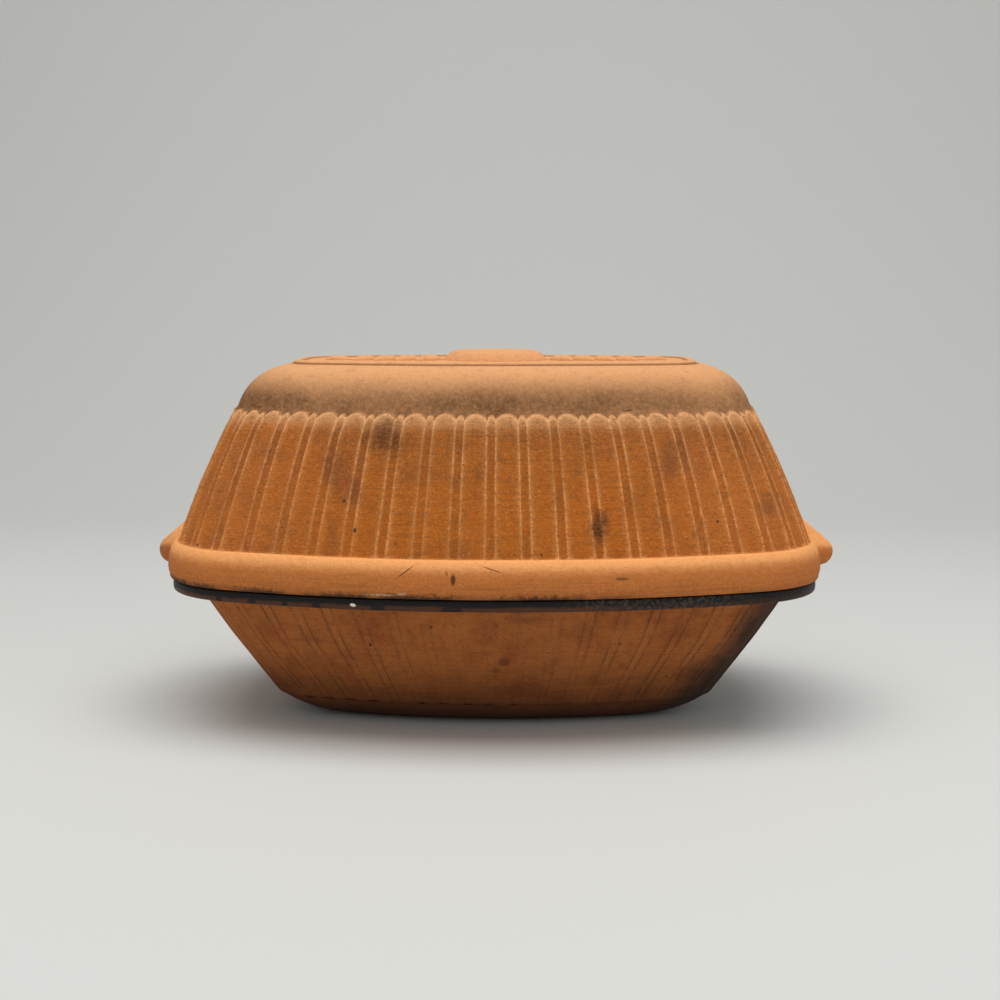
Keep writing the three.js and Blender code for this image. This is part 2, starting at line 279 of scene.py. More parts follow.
def mesh_object(name: str, points: Sequence[Sequence[float]], faces: Sequence[Sequence[int]]) -> Thing:
    """Makes a smooth mesh and puts it in the scene.

    Args:
        name: Name of the mesh and its object.
        points: Places of the points, in metres.
        faces: Corners of each face.

    Returns:
        The object.
    """
    mesh = bpy.data.meshes.new(name)
    mesh.from_pydata(points, [], faces)
    mesh.polygons.foreach_set("use_smooth", np.ones(len(mesh.polygons), dtype=bool))
    return link(bpy.data.objects.new(name, mesh))


class Trait(Enum):
    """Numbers kept on every point of a shell, which the flutes and the finishes read."""

    FLUTE = "flute"
    RISE = "rise"
    FLUTED = "fluted"
    WAVER = "waver"
    BAND = "band"
    CROWN = "crown"
    GROOVE = "groove"
    INSIDE = "inside"
    GLAZE = "glaze"


Traits = dict[Trait, float | Array]


@dataclass
class Shell:
    """Rings of points that are joined in order into one closed skin."""

    name: str
    base: float
    turns: Array = field(default_factory=flute_turns)
    rings: list[Array] = field(default_factory=list)
    outward: list[Array] = field(default_factory=list)
    traits: list[Traits] = field(default_factory=list)

    def add(self, oval: Oval, level: Level, traits: Traits, scale: float = 1.0) -> None:
        """Adds a ring.

        Args:
            oval: Plan outline of the ring.
            level: Its height and the way that it faces.
            traits: Numbers that its points carry.
            scale: Shrinks the ring towards the middle.
        """
        flat, normal = oval.points(self.turns)
        height = np.full((len(flat), 1), self.base + level.height)
        rise = np.full((len(flat), 1), math.sin(level.lean))
        self.rings.append(np.hstack([flat * scale, height]))
        self.outward.append(np.hstack([normal * math.cos(level.lean), rise]))
        self.traits.append(traits)

    def add_levels(self, levels: Iterable[Level], traits: Traits) -> None:
        """Adds a ring of the rim's outline, drawn in, for each level."""
        for level in levels:
            self.add(RIM.drawn_in(level.inset), level, traits)

    def add_flat(self, oval: Oval, level: Level, traits: Traits, scales: Iterable[float]) -> None:
        """Adds rings of one outline at one level, shrunk by each scale, for a floor or a ceiling."""
        for scale in scales:
            self.add(oval, level, traits, scale)

    def make(self) -> Thing:
        """Joins the rings and closes both ends.

        Returns:
            The object, with its traits as attributes of its points.
        """
        count, rows = len(self.turns), len(self.rings)
        first, last = self.rings[0].mean(axis=0), self.rings[-1].mean(axis=0)
        points = np.vstack([*self.rings, first, last]) * MM
        here = np.arange(count)
        after = (here + 1) % count
        top = (rows - 1) * count
        fans = np.vstack([
            np.stack([np.full(count, rows * count), after, here], axis=1),
            np.stack([np.full(count, rows * count + 1), top + here, top + after], axis=1),
        ])
        shell = mesh_object(self.name, points.tolist(), ring_quads(rows, count) + fans.tolist())
        attributes = shell.data.attributes
        for trait in Trait:
            values = np.zeros(len(points), dtype=np.float32)
            for row, traits in enumerate(self.traits):
                values[row * count:(row + 1) * count] = traits.get(trait, 0.0)
            if trait is Trait.FLUTE:
                values[:rows * count] = np.tile(self.turns * FLUTE_PAIRS, rows)
            attributes.new(trait.value, "FLOAT", "POINT").data.foreach_set("value", values)
        ways = np.zeros((len(points), 3), dtype=np.float32)
        ways[:rows * count] = np.vstack(self.outward)
        attributes.new("outward", "FLOAT_VECTOR", "POINT").data.foreach_set("vector", ways.ravel())
        shell.data.update()
        return shell


class Graph:
    """A node tree, with short calls that add a node and give its output."""

    def __init__(self, tree: bpy.types.NodeTree) -> None:
        """Keeps the tree that nodes are added to."""
        self.tree = tree

    def add(
        self, kind: str, inputs: dict[str | int, object] | None = None, **settings: object
    ) -> bpy.types.Node:
        """Adds a node.

        Args:
            kind: Blender's name for the node.
            inputs: A value or another node's socket for each input, by name or place.
            **settings: Properties of the node.

        Returns:
            The node.
        """
        node = self.tree.nodes.new(kind)
        for name, value in settings.items():
            setattr(node, name, value)
        for key, value in (inputs or {}).items():
            if isinstance(value, Socket):
                self.tree.links.new(value, node.inputs[key])
            else:
                node.inputs[key].default_value = value
        return node

    def get(self, kind: str, inputs: dict[str | int, object] | None = None, **settings: object) -> Socket:
        """Adds a node as add does, and gives its first output."""
        return self.add(kind, inputs, **settings).outputs[0]

    def math(self, operation: str, *values: Value) -> Socket:
        """A sum of one to three numbers or sockets."""
        return self.get("ShaderNodeMath", dict(enumerate(values)), operation=operation)

    def chain(self, operation: str, values: Sequence[Value]) -> Value:
        """One kind of sum over a row of numbers or sockets."""
        result = values[0]
        for value in values[1:]:
            result = self.math(operation, result, value)
        return result

    def product(self, *values: Value) -> Value:
        """Numbers or sockets multiplied."""
        return self.chain("MULTIPLY", values)

    def most(self, *values: Value) -> Value:
        """The greatest of some numbers or sockets."""
        return self.chain("MAXIMUM", values)

    def less(self, value: Value, by: Value) -> Socket:
        """One number or socket taken from another."""
        return self.math("SUBTRACT", value, by)

    def rest(self, value: Value) -> Socket:
        """What a share leaves of one."""
        return self.less(1.0, value)

    def ease(
        self, value: Value, low: Value, high: Value, to_low: float = 0.0, to_high: float = 1.0
    ) -> Socket:
        """A smooth step from to_low to to_high as the value goes from low to high."""
        inputs = {"Value": value, "From Min": low, "From Max": high, "To Min": to_low, "To Max": to_high}
        return self.get("ShaderNodeMapRange", inputs, interpolation_type="SMOOTHSTEP")

    def blend(self, share: Value, low: Value, high: Value) -> Socket:
        """A number between two others."""
        return self.get("ShaderNodeMix", {0: share, 2: low, 3: high})

    def tint(self, share: Value, low: Socket | Colour, high: Socket | Colour) -> Socket:
        """A colour between two others."""
        return self.add("ShaderNodeMix", {0: share, 6: low, 7: high}, data_type="RGBA").outputs[2]

    def noise(self, place: Socket, scale: Value, detail: float = 2.0, roughness: float = 0.5) -> Socket:
        """Cloudy noise from 0 to 1."""
        inputs = {"Vector": place, "Scale": scale, "Detail": detail, "Roughness": roughness}
        return self.get("ShaderNodeTexNoise", inputs)

    def parts(self, vector: Socket) -> Sequence[Socket]:
        """The x, y and z of a vector."""
        return self.add("ShaderNodeSeparateXYZ", {0: vector}).outputs

    def vector(self, x: Value = 0.0, y: Value = 0.0, z: Value = 0.0) -> Socket:
        """A vector of three numbers or sockets."""
        return self.get("ShaderNodeCombineXYZ", {0: x, 1: y, 2: z})


class NodeTool(Graph):
    """A Geometry Nodes tree with named inputs, used once on an object and baked into its mesh."""

    def __init__(self, name: str, sizes: dict[str, float]) -> None:
        """Starts the tree.

        Args:
            name: Name of the tree.
            sizes: Each named input and its value.
        """
        super().__init__(bpy.data.node_groups.new(name, "GeometryNodeTree"))
        self.sizes = sizes
        self.opening("Geometry", "Geometry")
        self.keys = {size: self.opening(size, "Float") for size in sizes}
        self.finish_key = self.opening("Finish", "Material")
        self.opening("Geometry", "Geometry", "OUTPUT")
        self.start = self.add("NodeGroupInput")

    def opening(self, name: str, kind: str, way: str = "INPUT") -> str:
        """Adds an input or an output to the tree and gives its key."""
        face = self.tree.interface
        return face.new_socket(name=name, in_out=way, socket_type=f"NodeSocket{kind}").identifier

    def size(self, name: str) -> Socket:
        """The socket of a named input."""
        return self.start.outputs[name]

    def trait(self, name: str, kind: str = "FLOAT") -> Socket:
        """An attribute of the points."""
        return self.get("GeometryNodeInputNamedAttribute", {"Name": name}, data_type=kind)

    def store(self, geometry: Socket, name: str, value: Value) -> Socket:
        """Keeps a number on every point."""
        inputs = {"Geometry": geometry, "Name": name, "Value": value}
        return self.get("GeometryNodeStoreNamedAttribute", inputs, data_type="FLOAT", domain="POINT")

    def join(self, *pieces: Socket) -> Socket:
        """Several geometries as one."""
        node = self.add("GeometryNodeJoinGeometry")
        for piece in pieces:
            self.tree.links.new(piece, node.inputs[0])
        return node.outputs[0]

    def end(self, geometry: Socket) -> None:
        """Closes the tree: real geometry in its finish."""
        real = self.get("GeometryNodeRealizeInstances", {"Geometry": geometry})
        dressed = self.get("GeometryNodeSetMaterial", {"Geometry": real, "Material": self.size("Finish")})
        self.add("NodeGroupOutput", {"Geometry": dressed})

    def bake(self, thing: Thing, finish: Material) -> None:
        """Runs the tree on an object and keeps the result as its plain mesh.

        Args:
            thing: The object, whose mesh is replaced.
            finish: Material of the result.
        """
        modifier = thing.modifiers.new(self.tree.name, "NODES")
        modifier.node_group = self.tree
        for name, value in self.sizes.items():
            modifier[self.keys[name]] = value
        modifier[self.finish_key] = finish
        bpy.context.view_layer.update()
        depsgraph = bpy.context.evaluated_depsgraph_get()
        mesh = bpy.data.meshes.new_from_object(thing.evaluated_get(depsgraph), depsgraph=depsgraph)
        thing.modifiers.remove(modifier)
        plain = thing.data
        thing.data = mesh
        bpy.data.meshes.remove(plain)
        mesh.name = thing.name


@dataclass(frozen=True)
class Flutes:
    """Alternate wide and narrow flutes between arrises, with rounded ends that stand proud.

    Every size is an input of the tree too, under the same name.
    """

    wide_depth: float
    narrow_depth: float
    end_rise: float
    wide_arch: float
    narrow_arch: float
    narrow_drop: float
    step: float
    end_rounding: float = 1.5
    end_roundness: float = 0.98
    end_margin: float = 0.4
    end_length: float = 5.0
    foot_length: float = 1.0
    floor_flatness: float = 3.2
    arris_wander: float = 0.04
    wander_scale: float = 55.0
    waver: float = 0.7
    waver_scale: float = 18.0
    fine_waver: float = 0.22
    fine_waver_scale: float = 150.0
    arris_sharpness: float = 8.0
    cap_length: float = 14.0
    flare: float = 0.0
    flare_length: float = 3.0

    def tool(self, name: str) -> NodeTool:
        """Builds the tree that carves the flutes into a shell.

        Args:
            name: Name of the tree.

        Returns:
            The tool, ready to bake.
        """
        sizes = {size.replace("_", " ").title(): value for size, value in asdict(self).items()}
        g = NodeTool(name, {"Narrow Share": NARROW_SHARE, **sizes})
        size = g.size
        place = g.get("GeometryNodeInputPosition")

        def swing(extent: str, scale: str, detail: float) -> Value:
            """Noise to either side of zero, as wide as one input and as fine as another."""
            return g.product(g.less(g.noise(place, size(scale), detail), 0.5), size(extent))

        turn = g.math("ADD", g.trait("flute"), swing("Arris Wander", "Wander Scale", 1.0))
        off = g.math("ABSOLUTE", g.less(g.math("FRACT", g.math("ADD", turn, 0.5)), 0.5))
        half = g.product(size("Narrow Share"), 0.5)
        wide = g.math("GREATER_THAN", off, half)
        in_narrow = g.math("DIVIDE", off, half)
        in_wide = g.math("DIVIDE", g.less(0.5, off), g.less(0.5, half))
        across = g.math("MINIMUM", g.blend(wide, in_narrow, in_wide), 1.0)
        floor = g.rest(g.math("POWER", across, size("Floor Flatness")))
        bow = g.rest(g.math("SQRT", g.rest(g.product(across, across, size("End Roundness")))))
        arch = g.blend(wide, size("Narrow Arch"), size("Wide Arch"))
        drop = g.product(g.rest(wide), size("Narrow Drop"))
        rise = g.trait("rise")
        below = g.less(g.less(g.less(size("End Rise"), drop), g.product(arch, bow)), rise)
        edge = g.rest(g.get("ShaderNodeClamp", {0: g.math("DIVIDE", below, size("End Rounding"))}))
        skin = g.math("SQRT", g.most(g.rest(g.product(edge, edge)), 0.0))
        away = g.ease(below, size("End Margin"), size("End Length"))
        foot = g.ease(rise, 0.0, size("Foot Length"))
        fluted = g.trait("fluted")
        hollow = g.product(floor, away, foot, fluted)
        depth = g.product(g.blend(wide, size("Narrow Depth"), size("Wide Depth")), hollow)
        proud = g.product(skin, size("Step"), fluted)
        broad = swing("Waver", "Waver Scale", 2.0)
        fine = swing("Fine Waver", "Fine Waver Scale", 2.0)
        worn = g.product(g.math("ADD", broad, fine), g.trait("waver"))
        push = g.product(g.math("ADD", g.less(proud, depth), worn), MM)
        outward = {0: g.trait("outward", "FLOAT_VECTOR"), "Scale": push}
        offset = g.get("ShaderNodeVectorMath", outward, operation="SCALE")
        geometry = g.get("GeometryNodeSetPosition", {"Geometry": size("Geometry"), "Offset": offset})
        standing = g.product(skin, fluted)
        sharp = g.math("POWER", across, size("Arris Sharpness"))
        flare = g.product(across, across, g.rest(g.ease(rise, 0.0, size("Flare Length"))), size("Flare"))
        # the finishes read these: arris and cap for worn edges with painted highlights, skyward for the band's
        # painted highlight, hollow and narrow for painted shade
        kept = {
            "skyward": g.parts(g.get("GeometryNodeInputNormal"))[2],
            "crown": g.most(g.trait("crown"), g.less(fluted, standing)),
            "hollow": hollow,
            "arris": g.product(g.most(sharp, flare), standing),
            "cap": g.product(g.rest(g.ease(below, 0.0, size("Cap Length"))), standing),
            "narrow": g.product(g.rest(wide), standing),
        }
        for trait, value in kept.items():
            geometry = g.store(geometry, trait, value)
        g.end(geometry)
        return g


class Stain(Enum):
    """Kinds of mark that use has left, and the colour of each."""

    SOOT = srgb(38, 30, 26)
    UMBER = srgb(108, 66, 40)
    BURNT = srgb(66, 34, 18)
    PALE = srgb(236, 226, 208)
    GLAZE_RUN = srgb(24, 20, 19)


@dataclass(frozen=True)
class Mark:
    """One mark on the front, an ellipse as seen from the front."""

    stain: Stain
    x: float
    z: float
    half_length: float
    half_height: float
    strength: float = 1.0
    tilt: float = 0.0
    ragged: float = 0.5
    softness: float = 0.6
    speckled: float = 0.0


LID_MARKS = (
    Mark(Stain.SOOT, -49.0, 145.5, 15.0, 12.5, 0.7, 0.0, 1.5, 0.95, 0.45),
    Mark(Stain.SOOT, -46.0, 143.0, 5.0, 6.0, 0.6, 8.0, 1.2, 0.9, 0.5),
    Mark(Stain.SOOT, 50.0, 105.5, 7.2, 11.5, 0.85, -4.0, 1.5, 0.9, 0.4),
    Mark(Stain.SOOT, 51.5, 108.0, 2.6, 6.0, 0.8, -4.0, 1.0, 0.9, 0.3),
    Mark(Stain.UMBER, -73.0, 131.0, 11.0, 17.0, 0.7, 18.0, 1.4, 1.0, 0.5),
    Mark(Stain.UMBER, -64.0, 121.0, 7.0, 12.0, 0.55, 15.0, 1.4, 1.0, 0.5),
    Mark(Stain.UMBER, 84.0, 134.0, 9.0, 19.0, 0.6, -18.0, 1.4, 1.0, 0.5),
    Mark(Stain.UMBER, 131.0, 113.0, 8.0, 9.0, 0.55, 0.0, 1.4, 1.0, 0.5),
    Mark(Stain.UMBER, -166.0, 84.0, 12.0, 12.0, 0.35, 0.0, 1.4, 1.0, 0.3),
    Mark(Stain.BURNT, -62.6, 104.0, 1.0, 1.5, 0.9),
    Mark(Stain.BURNT, -68.2, 116.7, 1.1, 1.0, 0.8),
    Mark(Stain.BURNT, 105.8, 106.6, 0.9, 0.9, 0.9),
    Mark(Stain.BURNT, -38.4, 86.8, 6.2, 0.32, 0.85, 36.0, 0.5, 0.5),
    Mark(Stain.BURNT, 1.0, 88.2, 6.4, 0.3, 0.8, -18.0, 0.5, 0.5),
    Mark(Stain.BURNT, -16.6, 83.6, 1.5, 3.2, 0.85, 0.0, 0.4, 0.5),
    Mark(Stain.BURNT, -19.6, 86.3, 0.7, 1.5, 0.5, 20.0, 0.4, 0.6),
    Mark(Stain.UMBER, 60.2, 83.4, 3.8, 0.95, 0.75, -2.0, 0.3, 0.5),
    Mark(Stain.BURNT, 64.0, 157.6, 3.4, 0.4, 0.8, 4.0, 0.4, 0.5),
    Mark(Stain.PALE, -50.0, 75.8, 10.0, 0.9, 0.4, 0.0, 1.6, 0.9, 0.95),
    Mark(Stain.PALE, -40.0, 76.6, 3.5, 0.9, 0.45, 0.0, 1.6, 0.9, 0.95),
)

DISH_MARKS = (
    Mark(Stain.PALE, -63.0, 70.4, 1.5, 0.85, 1.0, -8.0, 0.5, 0.25),
    Mark(Stain.GLAZE_RUN, -128.6, 69.2, 2.0, 2.6, 0.9, 0.0, 0.2, 0.4),
    Mark(Stain.GLAZE_RUN, -111.9, 69.2, 2.6, 2.6, 0.9, 0.0, 0.2, 0.4),
    Mark(Stain.GLAZE_RUN, -95.7, 69.2, 1.8, 2.6, 0.9, 0.0, 0.2, 0.4),
    Mark(Stain.GLAZE_RUN, -80.5, 69.2, 2.4, 2.8, 0.95, 0.0, 0.2, 0.4),
    Mark(Stain.GLAZE_RUN, -51.5, 69.6, 4.2, 2.9, 0.95, 0.0, 0.3, 0.4),
    Mark(Stain.GLAZE_RUN, -17.5, 69.2, 6.0, 2.9, 0.9, 0.0, 0.3, 0.4),
    Mark(Stain.BURNT, 6.0, 38.0, 4.2, 3.6, 0.55, 40.0, 1.0, 0.7),
    Mark(Stain.BURNT, 2.0, 33.0, 3.2, 2.6, 0.4, 0.0, 1.0, 0.7),
    Mark(Stain.BURNT, -58.0, 46.0, 0.9, 1.4, 0.9),
    Mark(Stain.BURNT, -28.0, 57.0, 0.8, 0.9, 0.8),
    Mark(Stain.UMBER, 20.0, 61.0, 11.0, 4.0, 0.5, 0.0, 1.0, 1.0),
    Mark(Stain.BURNT, 61.0, 47.0, 1.0, 0.8, 0.6),
)


@dataclass(frozen=True)
class Ramp:
    """A smooth step: where it starts and stops, and what it gives at each."""

    start: float
    stop: float
    first: float = 0.0
    last: float = 1.0


@dataclass(frozen=True)
class Cloud:
    """Noise in the clay: lumps to a metre, octaves and how strong the finest are.

    It may go through a ramp, and may have a scale of its own upwards, which draws it out.
    """

    scale: float
    detail: float = 2.0
    roughness: float = 0.5
    ramp: Ramp | None = None
    upright: float | None = None


@dataclass(frozen=True)
class Fray:
    """Noise that raises a number by up to its reach, so that a layer ends in a ragged edge."""

    cloud: Cloud
    reach: float


class Paint(Graph):
    """A material's tree: where each point lies, and the colour that has been laid so far."""

    def __init__(self, name: str, ground: Colour) -> None:
        """Starts a material.

        Args:
            name: Name of the material.
            ground: The colour under all the others.
        """
        self.material = bpy.data.materials.new(name)
        self.material.use_nodes = True
        super().__init__(self.material.node_tree)
        self.tree.nodes.clear()
        self.colour: Socket | Colour = ground
        self.place = self.add("ShaderNodeTexCoord").outputs["Object"]
        self.along, self.across, self.height = self.parts(self.place)
        self.aside = self.math("ABSOLUTE", self.along)

    def trait(self, name: str) -> Socket:
        """An attribute of the mesh's points."""
        return self.add("ShaderNodeAttribute", attribute_name=name).outputs["Fac"]

    def step(self, value: Value, ramp: Ramp) -> Socket:
        """A number taken through a ramp."""
        return self.ease(value, ramp.start, ramp.stop, ramp.first, ramp.last)

    def cloud(self, cloud: Cloud) -> Socket:
        """Noise in the clay.

        Args:
            cloud: What the noise is like.

        Returns:
            The noise, taken through its ramp if it has one.
        """
        place, scale = self.place, cloud.scale
        if cloud.upright is not None:
            scales = (cloud.scale, cloud.scale, cloud.upright)
            place, scale = self.get("ShaderNodeMapping", {"Vector": place, "Scale": scales}), 1.0
        noise = self.noise(place, scale, cloud.detail, cloud.roughness)
        return self.step(noise, cloud.ramp) if cloud.ramp else noise

    def frayed(self, value: Value, fray: Fray) -> Socket:
        """A number made ragged."""
        return self.math("MULTIPLY_ADD", self.cloud(fray.cloud), fray.reach, value)

    def lay(self, colour: Socket | Colour, *shares: Value) -> None:
        """Lays a colour over the others, as thick as the shares multiplied."""
        self.colour = self.tint(self.product(*shares), self.colour, colour)

    def close(self, inputs: dict[str, object]) -> Material:
        """Ends the material.

        Args:
            inputs: The shader's inputs other than its colour.

        Returns:
            The material.
        """
        shader = self.get("ShaderNodeBsdfPrincipled", {"Base Color": self.colour, **inputs})
        self.add("ShaderNodeOutputMaterial", {"Surface": shader})
        return self.material


@dataclass(frozen=True)
class ClayFinish:
    """Bare fired clay: open grain, dark specks, pits, smoke and the marks of use.

    The ramps named for a height, an end or a side are in metres.
    """

    name: str
    warm: Colour = srgb(194, 112, 39)
    ochre: Colour = srgb(187, 114, 43)
    deep: Colour = srgb(180, 94, 14)
    edge: Colour = srgb(252, 174, 106)
    # smoke colour, also laid as painted shade in the narrow flutes and the panel's grooves
    smoke: Colour = srgb(116, 71, 38)
    dust: Colour = srgb(230, 168, 115)
    soot: Colour = srgb(52, 40, 33)
    roughness: float = 0.93
    specular: float = 0.25
    bump_strength: float = 0.75
    bump_distance: float = 0.0005
    wiping: Cloud = Cloud(40.0, 3.0, 0.6, upright=1100.0)
    wiping_height: float = 0.8
    surface_grain: Cloud = Cloud(900.0, 3.0, 0.65)
    surface_lumps: Cloud = Cloud(240.0, 4.0, 0.65)
    lump_height: float = 1.8
    ochre_patches: Cloud = Cloud(15.0, 3.0, 0.5, Ramp(0.36, 0.64))
    hollow_shade: float = 0.75
    smoke_drifts: Cloud = Cloud(38.0, 6.0, 0.68, Ramp(0.48, 0.72, 0.0, 0.5))
    smoke_runs: Cloud = Cloud(75.0, 4.0, 0.6, Ramp(0.5, 0.7, 0.0, 0.4), upright=9.0)
    smoke_streaks: Ramp = Ramp(0.46, 0.7, 0.0, 0.35)
    mottle: Cloud = Cloud(190.0, 5.0, 0.68, Ramp(0.52, 0.72, 0.0, 0.38))
    grain: Cloud = Cloud(850.0, 3.0, 0.6)
    pale_grain: Ramp = Ramp(0.52, 0.78, 0.0, 0.3)
    dark_grain: Ramp = Ramp(0.46, 0.24, 0.0, 0.6)
    least_mottle: float = 0.4
    specks: Cloud = Cloud(1500.0, 1.0, 0.5, Ramp(0.62, 0.72))
    speck_patches: Cloud = Cloud(28.0, 3.0, 0.5, Ramp(0.35, 0.65, 0.1, 1.0))
    speck_strength: float = 0.6
    pit_scale: float = 95.0
    pits: Ramp = Ramp(0.085, 0.04)
    pit_patches: Cloud = Cloud(33.0, 2.0, 0.5, Ramp(0.52, 0.57))
    pit_strength: float = 0.7
    mark_depth: float = 1000.0
    mark_fray: Cloud = Cloud(330.0, 5.0, 0.7)
    mark_speckle: Cloud = Cloud(900.0, 4.0, 0.75, Ramp(0.4, 0.58))
    front_side: Ramp = Ramp(0.0, -0.01)
    marks: tuple[Mark, ...] = ()

    def cover(self, p: Paint, mark: Mark, fray: Socket, speckle: Socket) -> Value:
        """Works out how much of each point a mark covers.

        Args:
            p: The material's paint.
            mark: The mark.
            fray: Noise that frays its outline.
            speckle: Noise that breaks it up.

        Returns:
            A share from 0 to the mark's strength.
        """
        centred = p.get("ShaderNodeMapping", {
            "Vector": p.place,
            "Location": (mark.x * MM, 0.0, mark.z * MM),
            "Rotation": (0.0, -math.radians(mark.tilt), 0.0),
            "Scale": (mark.half_length * MM, self.mark_depth, mark.half_height * MM),
        }, vector_type="TEXTURE")
        reach = p.add("ShaderNodeVectorMath", {0: centred}, operation="LENGTH").outputs[1]
        reach = p.math("MULTIPLY_ADD", fray, mark.ragged, reach)
        share = p.ease(reach, 1.0, 1.0 - mark.softness, 0.0, mark.strength)
        return p.product(share, p.blend(mark.speckled, 1.0, speckle)) if mark.speckled else share

    def lay_marks(self, p: Paint) -> None:
        """Lays each mark on the front of the outside."""
        fray = p.less(p.cloud(self.mark_fray), 0.5)
        speckle = p.cloud(self.mark_speckle)
        front = p.product(p.step(p.across, self.front_side), p.rest(p.trait("inside")))
        for stain in Stain:
            covers = [self.cover(p, mark, fray, speckle) for mark in self.marks if mark.stain is stain]
            if covers:
                p.lay(stain.value, p.most(*covers), front)

    def lay_clay(self, p: Paint) -> None:
        """Lays the colour of bare clay, with painted shade in the flute hollows, wiping marks and drifts of
        smoke.
        """
        p.lay(self.ochre, p.cloud(self.ochre_patches))
        # painted shade: the deeper colour laid in the flute hollows
        p.lay(self.deep, p.trait("hollow"), self.hollow_shade)
        streaks = p.step(p.cloud(self.wiping), self.smoke_streaks)
        smoke = p.most(p.cloud(self.smoke_drifts), p.cloud(self.smoke_runs), streaks)
        p.lay(self.smoke, smoke, p.trait("fluted"))

    def lay_grain(self, p: Paint, flecked: Value = 1.0) -> None:
        """Lays the clay's grain, dark specks and pits.

        Args:
            p: The material's paint.
            flecked: How strongly the dark specks show, from 0 to 1.
        """
        mottled = p.math("MULTIPLY_ADD", flecked, 1.0 - self.least_mottle, self.least_mottle)
        grain = p.cloud(self.grain)
        p.lay(self.smoke, p.cloud(self.mottle), mottled)
        p.lay(self.dust, p.step(grain, self.pale_grain))
        p.lay(self.smoke, p.step(grain, self.dark_grain), mottled)
        p.lay(self.soot, p.cloud(self.specks), p.cloud(self.speck_patches), flecked, self.speck_strength)
        cells = p.get("ShaderNodeTexVoronoi", {"Vector": p.place, "Scale": self.pit_scale, "Randomness": 1.0})
        p.lay(self.soot, p.step(cells, self.pits), p.cloud(self.pit_patches), flecked, self.pit_strength)

    def close(self, p: Paint, roughness: Value, drag: Value) -> Material:
        """Gives the clay its fine surface of grain, lumps and wiping lines, and ends the material.

        Args:
            p: The material's paint.
            roughness: Roughness of the surface.
            drag: How strong the wiping lines are, from 0 to 1.

        Returns:
            The material.
        """
        lines = p.product(p.cloud(self.wiping), drag, self.wiping_height)
        lumps = p.product(p.cloud(self.surface_lumps), self.lump_height)
        height = p.math("ADD", p.math("ADD", p.cloud(self.surface_grain), lumps), lines)
        bump = {"Strength": self.bump_strength, "Distance": self.bump_distance, "Height": height}
        normal = p.get("ShaderNodeBump", bump)
        return p.close({"Roughness": roughness, "Normal": normal, "Specular IOR Level": self.specular})


